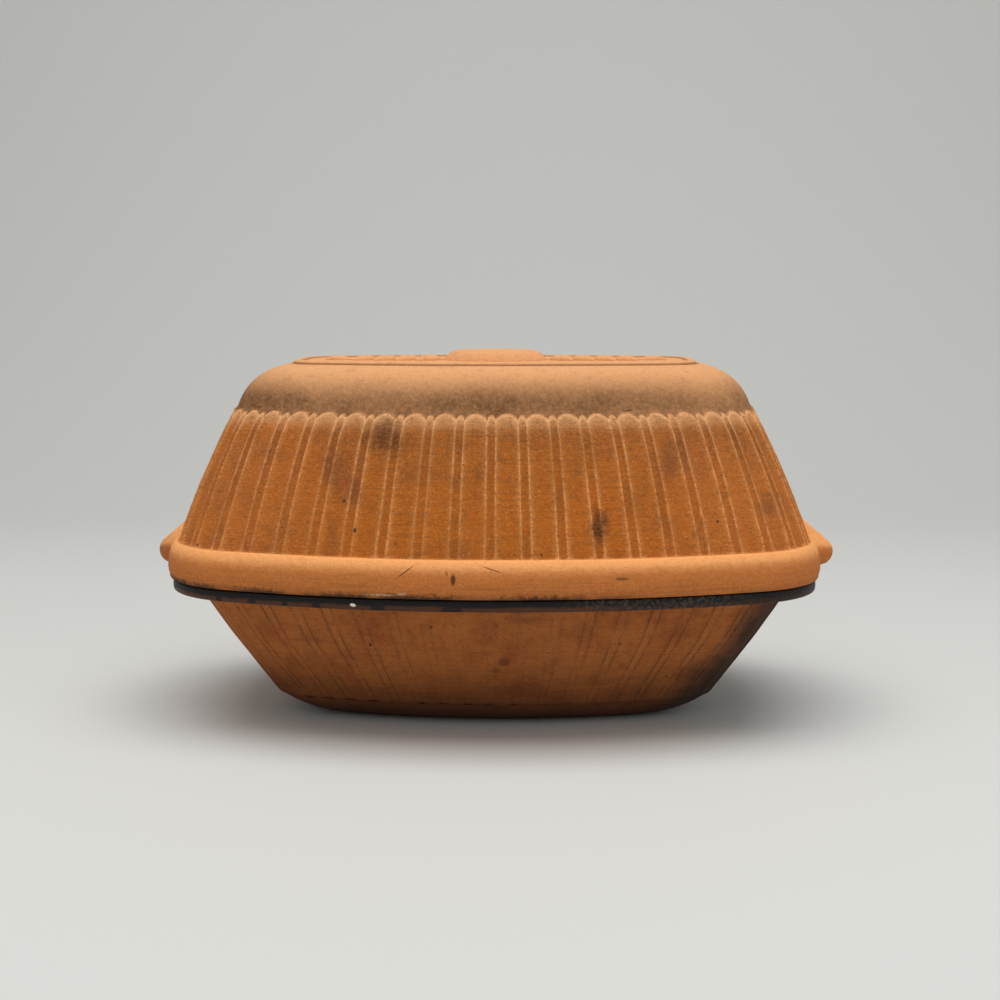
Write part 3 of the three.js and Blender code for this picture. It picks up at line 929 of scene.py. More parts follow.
@dataclass(frozen=True)
class LidFinish(ClayFinish):
    """The lid's clay: pale worn edges with painted highlights, painted shade in the narrow flutes and the
    panel's grooves, dusty crown, and soot above the flutes and at the rim.
    """

    bared: Colour = srgb(203, 120, 60)
    haze: Colour = srgb(114, 76, 44)
    # cap colour: rubbed clay and painted highlight
    rubbed: Colour = srgb(253, 188, 130)
    grit: Cloud = Cloud(420.0, 4.0, 0.75)
    bared_ends: Ramp = Ramp(0.05, 0.13, 0.0, 0.3)
    shaded_ends: Ramp = Ramp(0.02, 0.11, 0.3, 1.0)
    shaded_height: Ramp = Ramp(0.1, 0.15, 0.35, 1.0)
    shaded_patches: Cloud = Cloud(26.0, 2.0, 0.5, Ramp(0.35, 0.65))
    shade: Ramp = Ramp(0.0, 1.0, 0.06, 0.26)
    hazy_height: Ramp = Ramp(0.112, 0.157)
    hazy_side: Ramp = Ramp(-0.12, -0.03, 0.35, 1.0)
    hazy_grit: Ramp = Ramp(0.4, 0.62, 0.15, 0.6)
    worn_and_lit_patches: Cloud = Cloud(24.0, 3.0, 0.6, Ramp(0.36, 0.58, 0.4, 1.0))
    worn_and_lit_grit: Ramp = Ramp(0.34, 0.62, 0.2, 0.9)
    cap_grit: Ramp = Ramp(0.36, 0.6, 0.75, 1.0)
    crown_dust: float = 0.95
    shoulder_height: Ramp = Ramp(0.178, 0.161)
    shoulder_side: Ramp = Ramp(0.04, 0.11, 1.0, 0.85)
    shoulder_drifts: Cloud = Cloud(26.0, 4.0, 0.6, Ramp(0.3, 0.6, 0.75, 1.05))
    shoulder_grit: Ramp = Ramp(0.35, 0.65, 0.8, 1.0)
    shoulder_haze: float = 0.95
    groove_shade: float = 0.6
    bared_band: float = 0.8
    # painted highlight on the band's upward faces
    lit_grit: float = 0.25
    lit_edge: Ramp = Ramp(0.1, 0.5)
    lit_strength: float = 0.92
    band_height: Ramp = Ramp(0.0885, 0.079)
    band_sand: Cloud = Cloud(700.0, 4.0, 0.7, Ramp(0.5, 0.66, 0.0, 0.3))
    band_streaks: Ramp = Ramp(0.44, 0.68, 0.0, 0.3)
    clean_crown: float = 0.7
    char_fray: Fray = Fray(Cloud(480.0, 5.0, 0.75), 0.006)
    char_height: Ramp = Ramp(0.0803, 0.0775, 0.0, 0.9)
    char_side: Ramp = Ramp(0.08, 0.03, 0.25, 1.0)
    char_patches: Cloud = Cloud(40.0, 3.0, 0.5, Ramp(0.34, 0.5, 0.35, 1.0))
    inner_smoke: Cloud = Cloud(20.0, 4.0, 0.5, Ramp(0.25, 0.75, 0.25, 0.7))

    def lay_wall(self, p: Paint, grit: Socket) -> None:
        """Lays the fluted wall: paler ends, painted shade in the narrow flutes, smoke above, and arrises and
        caps pale from wear and painted highlight.

        Args:
            p: The material's paint.
            grit: Coarse noise that breaks up what is worn and the painted highlights.
        """
        fluted, cap = p.trait("fluted"), p.trait("cap")
        p.lay(self.bared, fluted, p.step(p.aside, self.bared_ends))
        # painted shade, with some smoke: the narrow flutes darken towards the ends and high up
        ends, lofty = p.step(p.aside, self.shaded_ends), p.step(p.height, self.shaded_height)
        shade = p.step(p.cloud(self.shaded_patches), self.shade)
        p.lay(self.smoke, p.trait("narrow"), ends, lofty, shade)
        upper, side = p.step(p.height, self.hazy_height), p.step(p.along, self.hazy_side)
        p.lay(self.haze, fluted, upper, p.step(grit, self.hazy_grit), side)
        # paler arrises: partly worn clay, partly a painted highlight along the crests
        p.lay(self.edge, p.trait("arris"), p.cloud(self.worn_and_lit_patches), p.step(grit, self.worn_and_lit_grit))
        # paler cap ends: rubbed clay with a painted highlight where the rounded ends face up
        p.lay(self.rubbed, cap, cap, cap, p.step(grit, self.cap_grit))

    def lay_crown(self, p: Paint, grit: Socket, crown: Socket) -> None:
        """Lays the dusty crown, with smoke low on the shoulder and painted shade in the panel's grooves.

        Args:
            p: The material's paint.
            grit: Coarse noise that breaks up the smoke.
            crown: Where the crown is.
        """
        p.lay(self.dust, crown, self.crown_dust)
        smoky = p.product(p.cloud(self.shoulder_drifts), p.step(grit, self.shoulder_grit))
        low = p.product(p.step(p.height, self.shoulder_height), p.step(p.along, self.shoulder_side))
        p.lay(self.haze, crown, low, smoky, self.shoulder_haze)
        # painted shade in the panel's grooves
        p.lay(self.smoke, p.trait("groove"), self.groove_shade)

    def lay_band(self, p: Paint, grit: Socket, band: Socket) -> None:
        """Lays the bare band, with a painted highlight where it faces up, and dirty lower down.

        Args:
            p: The material's paint.
            grit: Coarse noise that breaks up the painted highlight.
            band: Where the band is.
        """
        p.lay(self.bared, band, self.bared_band)
        # painted highlight: the pale edge colour laid where the band faces up, broken by grit
        lit = p.math("MULTIPLY_ADD", p.less(grit, 0.5), self.lit_grit, p.trait("skyward"))
        p.lay(self.edge, band, p.step(lit, self.lit_edge), self.lit_strength)
        dirt = p.most(p.cloud(self.band_sand), p.step(p.cloud(self.wiping), self.band_streaks))
        p.lay(self.smoke, band, dirt, p.step(p.height, self.band_height))

    def make(self) -> Material:
        """Makes the lid's clay.

        Returns:
            The material.
        """
        p = Paint(self.name, self.warm)
        grit, crown, band = p.cloud(self.grit), p.trait("crown"), p.trait("band")
        self.lay_clay(p)
        self.lay_wall(p, grit)
        self.lay_crown(p, grit, crown)
        self.lay_band(p, grit, band)
        self.lay_grain(p, p.rest(p.most(band, p.product(crown, self.clean_crown))))
        foot = p.step(p.frayed(p.height, self.char_fray), self.char_height)
        p.lay(self.soot, band, foot, p.step(p.along, self.char_side), p.cloud(self.char_patches))
        self.lay_marks(p)
        p.lay(self.smoke, p.trait("inside"), p.cloud(self.inner_smoke))
        return self.close(p, self.roughness, p.trait("fluted"))


@dataclass(frozen=True)
class DishFinish(ClayFinish):
    """The dish's clay, browned by the oven, with a dark glaze over its rim and inside."""

    glaze: Colour = srgb(16, 12, 11)
    thin_glaze: Colour = srgb(80, 45, 26)
    glaze_dust: Colour = srgb(104, 88, 70)
    # dark lines painted along the arrises as shade
    grime: Colour = srgb(88, 46, 21)
    rust: Colour = srgb(132, 60, 24)
    scorch: Colour = srgb(48, 27, 15)
    glaze_roughness: float = 0.5
    wiping_drag: float = 0.3
    painted_light_ends: Ramp = Ramp(0.01, 0.07, 0.3, 1.0)
    grime_patches: Cloud = Cloud(60.0, 4.0, 0.6, Ramp(0.32, 0.58, 0.2, 1.0))
    grime_strength: float = 0.8
    narrow_highlight: float = 0.07
    rust_patches: Cloud = Cloud(42.0, 6.0, 0.7, Ramp(0.46, 0.7, 0.0, 0.6))
    scorch_fray: Fray = Fray(Cloud(24.0, 5.0, 0.6), 0.024)
    scorch_height: Ramp = Ramp(0.054, 0.012, 0.0, 0.88)
    wall_top: float = 0.068
    wall_run: float = 0.657
    soot_fray: Fray = Fray(Cloud(30.0, 5.0, 0.6), 0.036)
    sooty_end: Ramp = Ramp(0.134, 0.158, 0.0, 0.92)
    glaze_fray: Fray = Fray(Cloud(90.0, 3.0), 0.5)
    glaze_limit: Ramp = Ramp(0.7, 0.8)
    thin_fray: Fray = Fray(Cloud(60.0, 4.0, 0.6), 0.003)
    thin_height: Ramp = Ramp(0.0727, 0.0712)
    thin_side: Ramp = Ramp(0.08, 0.03, 0.3, 1.0)
    dust_specks: Cloud = Cloud(600.0, 4.0, 0.7, Ramp(0.44, 0.7, 0.0, 0.65))
    dust_left_end: Ramp = Ramp(0.02, 0.06)
    dust_right_end: Ramp = Ramp(0.13, 0.1)

    def lay_glaze(self, p: Paint) -> Socket:
        """Lays the glaze, thin and brown in places, with dust on the rim's right half.

        Args:
            p: The material's paint.

        Returns:
            Where the glaze is.
        """
        inside = p.trait("inside")
        glazed = p.step(p.frayed(p.trait("glaze"), self.glaze_fray), self.glaze_limit)
        low = p.step(p.frayed(p.height, self.thin_fray), self.thin_height)
        thin = p.product(low, p.most(p.step(p.along, self.thin_side), inside))
        coat = p.tint(thin, self.glaze, self.thin_glaze)
        ends = p.product(p.step(p.along, self.dust_left_end), p.step(p.along, self.dust_right_end))
        dusty = p.product(p.cloud(self.dust_specks), ends, p.rest(inside))
        p.lay(p.tint(dusty, coat, self.glaze_dust), glazed)
        return glazed

    def make(self) -> Material:
        """Makes the dish's clay and glaze.

        Returns:
            The material.
        """
        p = Paint(self.name, self.warm)
        ends, arris = p.step(p.aside, self.painted_light_ends), p.trait("arris")
        self.lay_clay(p)
        # painted shade: dark lines along the arrises, strongest towards the ends
        p.lay(self.grime, arris, p.cloud(self.grime_patches), ends, self.grime_strength)
        # painted highlight: paler narrow flutes between the shaded arrises
        p.lay(self.edge, p.trait("narrow"), p.rest(arris), ends, self.narrow_highlight)
        p.lay(self.rust, p.cloud(self.rust_patches))
        self.lay_grain(p)
        # darker towards the bottom, up to a ragged edge
        p.lay(self.scorch, p.step(p.frayed(p.height, self.scorch_fray), self.scorch_height))
        outward = p.math("MULTIPLY_ADD", p.less(self.wall_top, p.height), self.wall_run, p.along)
        p.lay(self.soot, p.step(p.frayed(outward, self.soot_fray), self.sooty_end))
        glazed = self.lay_glaze(p)
        self.lay_marks(p)
        return self.close(p, p.blend(glazed, self.roughness, self.glaze_roughness), self.wiping_drag)


LID_CLAY = LidFinish("lid_clay", marks=LID_MARKS)
DISH_CLAY = DishFinish(
    "dish_clay",
    warm=srgb(184, 110, 54),
    ochre=srgb(176, 108, 56),
    deep=srgb(174, 100, 44),
    edge=srgb(206, 140, 88),
    smoke=srgb(112, 60, 32),
    dust=srgb(190, 126, 74),
    marks=DISH_MARKS,
)


@dataclass
class Lid:
    """The domed lid: rim band and lugs, fluted wall, smooth shoulder and framed panel."""

    base: float
    wall: float = 9.0
    mouth_inset: float = 12.5
    mouth_run: float = 0.6
    mouth_rise: float = 2.0
    overhang: float = 2.1
    edge_radius: float = 1.2
    band_height: float = 17.7
    band_radius: float = 3.5
    band_round: float = 8.5
    band_flatness: float = 0.35
    band_swell: float = 0.25
    band_lip: float = 2.6
    band_lip_back: float = 0.5
    band_lip_rises: Span = (0.4, 0.9)
    ledge: float = 1.2
    ledge_end: float = 0.3
    wall_rise: float = 65.0
    wall_angle: float = 66.2
    wall_bow: float = 1.5
    wall_rises: tuple[float, ...] = (0, 0.5, 1.2, 2.5, 5, 7, 9, 14, 20, 27, 34, 41, 48, 53, 56.5)
    cap_start: float = 58.0
    cap_spacing: float = 0.5
    cap_step: float = 1.2
    shoulder_radius: float = 36.0
    shoulder_swell: float = 1.2
    shoulder_start: float = 2.0
    crown_angle: float = 16.0
    lug_reach: float = 9.0
    lug_tip: float = 8.5
    lug_nose: float = 6.9
    lug_slope: float = 50.0
    lug_rise: float = 27.0
    lug_core: float = 13.0
    lug_half_width: float = 31.0
    lug_fall: float = 16.0
    lug_row_gap: float = 0.12
    lug_crease: float = 0.7
    panel_inset: float = 59.5
    panel_side_radius: float = 300.0
    panel_corner_radius: float = 20.0
    panel_least_corner: float = 4.0
    panel_height: float = 1.4
    frame_width: float = 5.0
    field_depth: float = 0.8
    field_scales: tuple[float, ...] = (0.8, 0.55, 0.3, 0.1)
    panel_waver: float = 0.35
    flutes: Flutes = Flutes(
        wide_depth=1.55, narrow_depth=1.25, end_rise=65.0, wide_arch=3.7, narrow_arch=2.2, narrow_drop=0.7,
        step=1.1, foot_length=0.5, flare=0.8,
    )

    @property
    def foot_inset(self) -> float:
        """Inset of the fluted wall's foot."""
        return self.band_radius - self.overhang + self.ledge

    @property
    def shoulder_centre(self) -> Level:
        """Middle of the shoulder's arc."""
        angle = math.radians(self.wall_angle)
        start = self.foot_inset + self.wall_rise / math.tan(angle) + self.cap_step
        return Level(
            start + self.shoulder_radius * math.sin(angle),
            self.band_height + self.wall_rise - self.shoulder_radius * math.cos(angle),
        )

    @property
    def panel_foot(self) -> float:
        """Height of the panel's foot above the lid's underside."""
        angle = math.radians(self.crown_angle)
        inset = self.shoulder_centre.inset - self.shoulder_radius * math.sin(angle)
        height = self.shoulder_centre.height + self.shoulder_radius * math.cos(angle)
        return height + (self.panel_inset - inset) * math.tan(angle)

    @property
    def panel(self) -> Oval:
        """Outline of the panel's frame."""
        return Oval(
            RIM.half_length - self.panel_inset, RIM.half_width - self.panel_inset, self.panel_side_radius,
            RIM.end_radius - self.panel_inset, self.panel_corner_radius, self.panel_least_corner,
        )

    @property
    def field_height(self) -> float:
        """Height of the panel's field in the frame of the part."""
        return self.base + self.panel_foot + self.panel_height - self.field_depth

    def inner_levels(self) -> list[Level]:
        """The inside, from its ceiling down to the mouth."""
        angle = math.radians(self.wall_angle)
        lean = 90 - self.wall_angle
        radius = self.shoulder_radius - self.wall
        arc = round_levels(self.shoulder_centre, radius, 90 - self.crown_angle, lean, 8)
        across = self.wall / math.sin(angle)
        mouth = self.band_height + (self.mouth_inset - self.foot_inset - across) * math.tan(angle)
        facing = math.radians(lean - 180)
        return [level.turned() for level in arc] + [
            Level(self.mouth_inset + self.mouth_run, mouth + self.mouth_rise, facing),
            Level(self.mouth_inset, mouth, facing),
            Level(self.mouth_inset, self.edge_radius, INWARD),
            Level(self.mouth_inset - self.edge_radius, 0.0, DOWN),
        ]

    def band_levels(self) -> list[Level]:
        """The rim band's face, from the underside to the ledge."""
        low = Level(self.edge_radius + self.band_lip_back - self.overhang, self.edge_radius)
        high = Level(self.band_radius - self.overhang, self.band_height - self.band_round)
        lip_top, foot = (self.band_lip + rise for rise in self.band_lip_rises)
        lip = [
            Level(self.band_lip_back - self.overhang, self.band_lip),
            Level(self.band_lip_back / 3 - self.overhang, lip_top),
        ]
        face = []
        for share in np.linspace(0, 1, 7)[:-1]:
            swell = self.band_swell * math.sin(math.pi * share)
            face.append(Level(-self.overhang - swell, foot + (high.height - foot) * share))
        upper = []
        for lean in np.linspace(0, math.pi / 2, 11):
            inset = high.inset - self.band_radius * math.cos(lean)
            upper.append(Level(inset, high.height + self.band_round * math.sin(lean), lean))
        return [
            *round_levels(low, self.edge_radius, -90, 0, 4), *lip, *face,
            *flattened(upper, self.band_flatness),
            Level(self.foot_inset - self.ledge_end, self.band_height, UP),
        ]

    def wall_levels(self) -> list[tuple[Level, float]]:
        """The wall below its flutes, with each level's rise."""
        lean = math.radians(90 - self.wall_angle)
        slope = 1 / math.tan(math.radians(self.wall_angle))
        caps = np.arange(self.cap_start, self.wall_rise + 0.8 * self.cap_spacing, self.cap_spacing)
        levels = []
        for rise in np.concatenate([self.wall_rises, caps]):
            bow = self.wall_bow * math.sin(math.pi * min(rise / self.wall_rise, 1.0))
            inset = self.foot_inset + self.cap_step + rise * slope - bow
            levels.append((Level(inset, self.band_height + rise, lean), float(rise)))
        return levels

    def add_panel(self, shell: Shell) -> None:
        """Adds the groove, the frame and the field on top.

        Each step of the profile says how far inside the panel's outline it is, how high, and what it carries.

        Args:
            shell: The lid's rings.
        """
        foot = self.panel_foot
        top = foot + self.panel_height
        traits = {Trait.CROWN: 1.0, Trait.WAVER: self.panel_waver}
        # the sunk steps carry the groove trait, where the finish paints shade
        sunk = {**traits, Trait.GROOVE: 1.0}
        width, floor = self.frame_width, top - self.field_depth
        steps = (
            (-2.2, foot - 0.35, traits), (-1.3, foot - 1.0, sunk), (-0.4, foot - 1.0, sunk),
            (0.0, foot + 0.1, sunk), (0.2, foot + 0.8, traits), (0.7, top - 0.25, traits),
            (1.5, top, traits), (width / 2, top + 0.1, traits), (width - 1.5, top, traits),
            (width - 0.7, top - 0.25, sunk), (width - 0.2, floor + 0.2, sunk), (width + 0.5, floor, traits),
        )
        for inward, height, kept in steps:
            shell.add(self.panel.drawn_in(inward), Level(0.0, height, UP), kept)
        field_oval = self.panel.drawn_in(steps[-1][0])
        shell.add_flat(field_oval, Level(0.0, floor, UP), traits, self.field_scales)

    def lug_face(self, height: float) -> float:
        """Works out a lug's profile: a round nose with a straight slope above it.

        Args:
            height: Height above the lid's underside.

        Returns:
            How far the lug's face stands from the middle of the lid, or nothing under the nose.
        """
        tip = RIM.half_length + self.overhang + self.lug_reach
        slope = math.radians(self.lug_slope)
        above = height - self.lug_tip
        bend = self.lug_nose * math.sin(slope)
        if above < -self.lug_nose:
            return 0.0
        if above < bend:
            return tip - self.lug_nose + math.sqrt(self.lug_nose**2 - above**2)
        return tip - self.lug_nose * (1 - math.cos(slope)) - (above - bend) * math.tan(slope)

    def with_lugs(self, shell: Shell, first: int) -> None:
        """Draws both ends of the band and the wall's foot out into lugs.

        Args:
            shell: The lid's rings.
            first: Place of the underside's ring among them.
        """
        steepest = math.sin(math.radians(self.lug_slope))
        height = 0.0
        for row in range(first, len(shell.rings)):
            points, traits = shell.rings[row], shell.traits[row]
            height = max(float(points[0, 2]) - self.base, height + self.lug_row_gap)
            if height > self.lug_rise:
                break
            away = (np.abs(points[:, 1]) - self.lug_core) / (self.lug_half_width - self.lug_core)
            fall = self.lug_fall * (1 - np.cos(np.pi * np.clip(away, 0, 1))) / 2
            room = self.lug_face(height) - fall - np.abs(points[:, 0])
            gain = np.where(away < 1, np.maximum(room, 0.0), 0.0)
            side = np.sign(points[:, 0])
            drawn = np.clip(gain / self.lug_crease, 0, 1)
            points[:, 0] += side * gain
            points[:, 2] += drawn * (self.base + height - points[:, 2])
            lean = math.asin(np.clip((height - self.lug_tip) / self.lug_nose, -1, steepest))
            level = np.zeros_like(side)
            facing = np.stack([side * math.cos(lean), level, level + math.sin(lean)], axis=1)
            shell.outward[row] += drawn[:, None] * (facing - shell.outward[row])
            shell.traits[row] = {
                **traits,
                Trait.FLUTED: traits.get(Trait.FLUTED, 0.0) * (1 - drawn),
                Trait.BAND: np.maximum(traits.get(Trait.BAND, 0.0), drawn),
            }

    def build(self, finish: Material) -> Thing:
        """Builds the lid.

        Args:
            finish: Its clay.

        Returns:
            The lid's shell.
        """
        shell = Shell("lid_shell", self.base)
        inner = self.inner_levels()
        within = {Trait.INSIDE: 1.0}
        ceiling = Level(0.0, inner[0].height, DOWN)
        shell.add_flat(RIM.drawn_in(inner[0].inset), ceiling, within, CLOSING_SCALES)
        shell.add_levels(inner, within)
        first = len(shell.rings)
        band = self.band_levels()
        shell.add_levels(band[:2], {Trait.BAND: 1.0})
        shell.add_levels(band[2:], {Trait.BAND: 1.0, Trait.WAVER: 1.0})
        for level, rise in self.wall_levels():
            shell.add_levels([level], {Trait.RISE: rise, Trait.FLUTED: 1.0, Trait.WAVER: 1.0})
        shoulder = round_levels(
            self.shoulder_centre, self.shoulder_radius, 90 - self.wall_angle + self.shoulder_start,
            90 - self.crown_angle, 12, self.shoulder_swell,
        )
        for level in shoulder:
            rise = level.height - self.band_height
            shell.add_levels([level], {Trait.RISE: rise, Trait.WAVER: 1.0, Trait.CROWN: 1.0})
        self.add_panel(shell)
        self.with_lugs(shell, first)
        lid = shell.make()
        self.flutes.tool("lid_flutes").bake(lid, finish)
        return lid


@dataclass
class CrownRelief:
    """The panel's raised ornament: an oval boss with petals, and a leafy sprig to each side."""

    field_height: float
    half_length: float
    boss_half_length: float = 26.0
    boss_half_width: float = 21.0
    boss_height: float = 5.2
    boss_sink: float = 0.6
    boss_columns: int = 96
    boss_gap: float = 2.4
    margin: float = 6.0
    leaf_pairs: int = 5
    leaf_length: float = 17.0
    leaf_width: float = 7.6
    leaf_height: float = 2.6
    leaf_tilt: float = 48.0
    leaf_point: float = 0.45
    leaf_crease: Span = (0.3, 0.72)
    leaf_shrink: float = 0.16
    stem_share: float = 0.6
    stem_half_width: float = 1.3
    stem_height: float = 1.7
    petals: int = 14
    petal_ring: float = 0.15
    petal_sink: float = 1.5
    petal_tilt: float = 3.0
    petal_scale: Place = (0.62, 0.72, 0.62)

    def boss(self) -> Thing:
        """Builds the oval boss: a broad hump with a shallow dish on top, sunk a little in the field."""
        count, top, low = self.boss_columns, self.boss_height, -self.boss_sink
        profile = (
            (0.5, low), (1.02, low), (1.0, 0.4), (0.97, top - 3.6), (0.93, top - 2.4), (0.88, top - 1.3),
            (0.82, top - 0.5), (0.75, top - 0.1), (0.69, top), (0.64, top - 0.15), (0.6, top - 0.6),
            (0.56, top - 0.9), (0.4, top - 0.9), (0.25, top - 0.6), (0.12, top - 0.3), (0.04, top - 0.2),
        )
        angle = np.linspace(0, 2 * np.pi, count, endpoint=False)
        rings = [
            np.stack([
                np.cos(angle) * self.boss_half_length * share,
                np.sin(angle) * self.boss_half_width * share,
                np.full(count, self.field_height + height),
            ], axis=1)
            for share, height in profile
        ]
        here = np.arange(count)
        ends = [here[::-1].tolist(), ((len(rings) - 1) * count + here).tolist()]
        points = (np.vstack(rings) * MM).tolist()
        return mesh_object("crown_relief", points, ring_quads(len(rings), count) + ends)

    def leaf(self, g: NodeTool) -> Socket:
        """Adds one leaf to the tree: a pointed mound with a creased midrib, from its base along +X."""
        ball = g.get("GeometryNodeMeshUVSphere", {"Segments": 20, "Rings": 12, "Radius": 1.0})
        x, y, z = g.parts(g.get("GeometryNodeInputPosition"))
        along = g.product(g.math("ADD", x, 1.0), g.size("Leaf Length"), 0.5)
        point = g.rest(g.product(g.ease(x, 0.0, 1.0), self.leaf_point))
        across = g.product(y, point, g.size("Leaf Width"), 0.5)
        crease_width, crease_depth = self.leaf_crease
        crease = g.ease(g.math("ABSOLUTE", y), 0.0, crease_width, crease_depth, 1.0)
        up = g.product(z, crease, g.size("Leaf Height"))
        return g.get("GeometryNodeSetPosition", {"Geometry": ball, "Position": g.vector(along, across, up)})

    def sprig(self, g: NodeTool, leaf: Socket, index: Socket) -> Socket:
        """Adds a sprig to the tree: a stem with pairs of leaves and one at its tip.

        Args:
            g: The tree.
            leaf: One leaf.
            index: Place of each point in its row.

        Returns:
            The sprig on the right.
        """
        first, last, field_height = g.size("First Leaf"), g.size("Last Leaf"), g.size("Field Height")
        leaves = 2 * self.leaf_pairs - 1
        line = g.get("GeometryNodeMeshLine", {"Count": leaves})
        pair = g.math("FLOOR", g.math("DIVIDE", index, 2.0))
        share = g.math("DIVIDE", pair, self.leaf_pairs - 1.0)
        side = g.less(g.product(g.math("MODULO", index, 2.0), 2.0), 1.0)
        paired = g.math("LESS_THAN", index, leaves - 1.5)
        stand = g.vector(x=g.blend(share, first, last), z=field_height)
        twigs = g.get("GeometryNodeInstanceOnPoints", {
            "Points": g.get("GeometryNodeSetPosition", {"Geometry": line, "Position": stand}),
            "Instance": leaf,
            "Rotation": g.vector(z=g.product(side, g.size("Leaf Tilt"), paired)),
            "Scale": g.rest(g.product(share, self.leaf_shrink)),
        })
        span = g.product(g.less(last, first), self.stem_share)
        middle = g.product(g.math("ADD", last, first), 0.5)
        stem = g.get("GeometryNodeTransform", {
            "Geometry": g.get("GeometryNodeMeshUVSphere", {"Segments": 12, "Rings": 8, "Radius": 1.0}),
            "Translation": g.vector(x=middle, z=field_height),
            "Scale": g.vector(span, self.stem_half_width * MM, self.stem_height * MM),
        })
        return g.join(twigs, stem)

    def rosette(self, g: NodeTool, leaf: Socket, index: Socket) -> Socket:
        """Adds the petals on the boss to the tree.

        Args:
            g: The tree.
            leaf: One leaf, which makes a petal too.
            index: Place of each point in its ring.

        Returns:
            The petals.
        """
        ring = g.get("GeometryNodeMeshCircle", {"Vertices": self.petals, "Radius": g.size("Petal Ring")})
        angle = g.math("DIVIDE", g.product(index, 2 * math.pi), float(self.petals))
        petals = g.get("GeometryNodeInstanceOnPoints", {
            "Points": ring, "Instance": leaf, "Scale": self.petal_scale,
            "Rotation": g.vector(y=math.radians(self.petal_tilt), z=angle),
        })
        return g.get("GeometryNodeTransform", {
            "Geometry": petals,
            "Translation": g.vector(z=g.math("ADD", g.size("Field Height"), g.size("Petal Rise"))),
            "Scale": g.vector(1.0, g.size("Petal Squash"), 1.0),
        })

    def tool(self) -> NodeTool:
        """Builds the tree that sets leaves along two stems and petals round the boss.

        Returns:
            The tool, ready to bake onto the boss.
        """
        first = self.boss_half_length + self.boss_gap
        last = self.half_length - self.margin - self.leaf_length
        g = NodeTool("sprigs", {
            "Leaf Length": self.leaf_length * MM, "Leaf Width": self.leaf_width * MM,
            "Leaf Height": self.leaf_height * MM, "Leaf Tilt": math.radians(self.leaf_tilt),
            "First Leaf": first * MM, "Last Leaf": last * MM, "Field Height": self.field_height * MM,
            "Petal Ring": self.boss_half_length * self.petal_ring * MM,
            "Petal Rise": (self.boss_height - self.petal_sink) * MM,
            "Petal Squash": self.boss_half_width / self.boss_half_length,
        })
        leaf = self.leaf(g)
        index = g.get("GeometryNodeInputIndex")
        right = self.sprig(g, leaf, index)
        left = g.get("GeometryNodeTransform", {"Geometry": right, "Rotation": (0.0, 0.0, math.pi)})
        whole = g.join(g.size("Geometry"), right, left, self.rosette(g, leaf, index))
        smooth = g.get("GeometryNodeSetShadeSmooth", {"Geometry": whole})
        g.end(g.store(smooth, "crown", 1.0))
        return g

    def build(self, finish: Material) -> Thing:
        """Builds the ornament in the lid's clay and returns it."""
        relief = self.boss()
        self.tool().bake(relief, finish)
        return relief


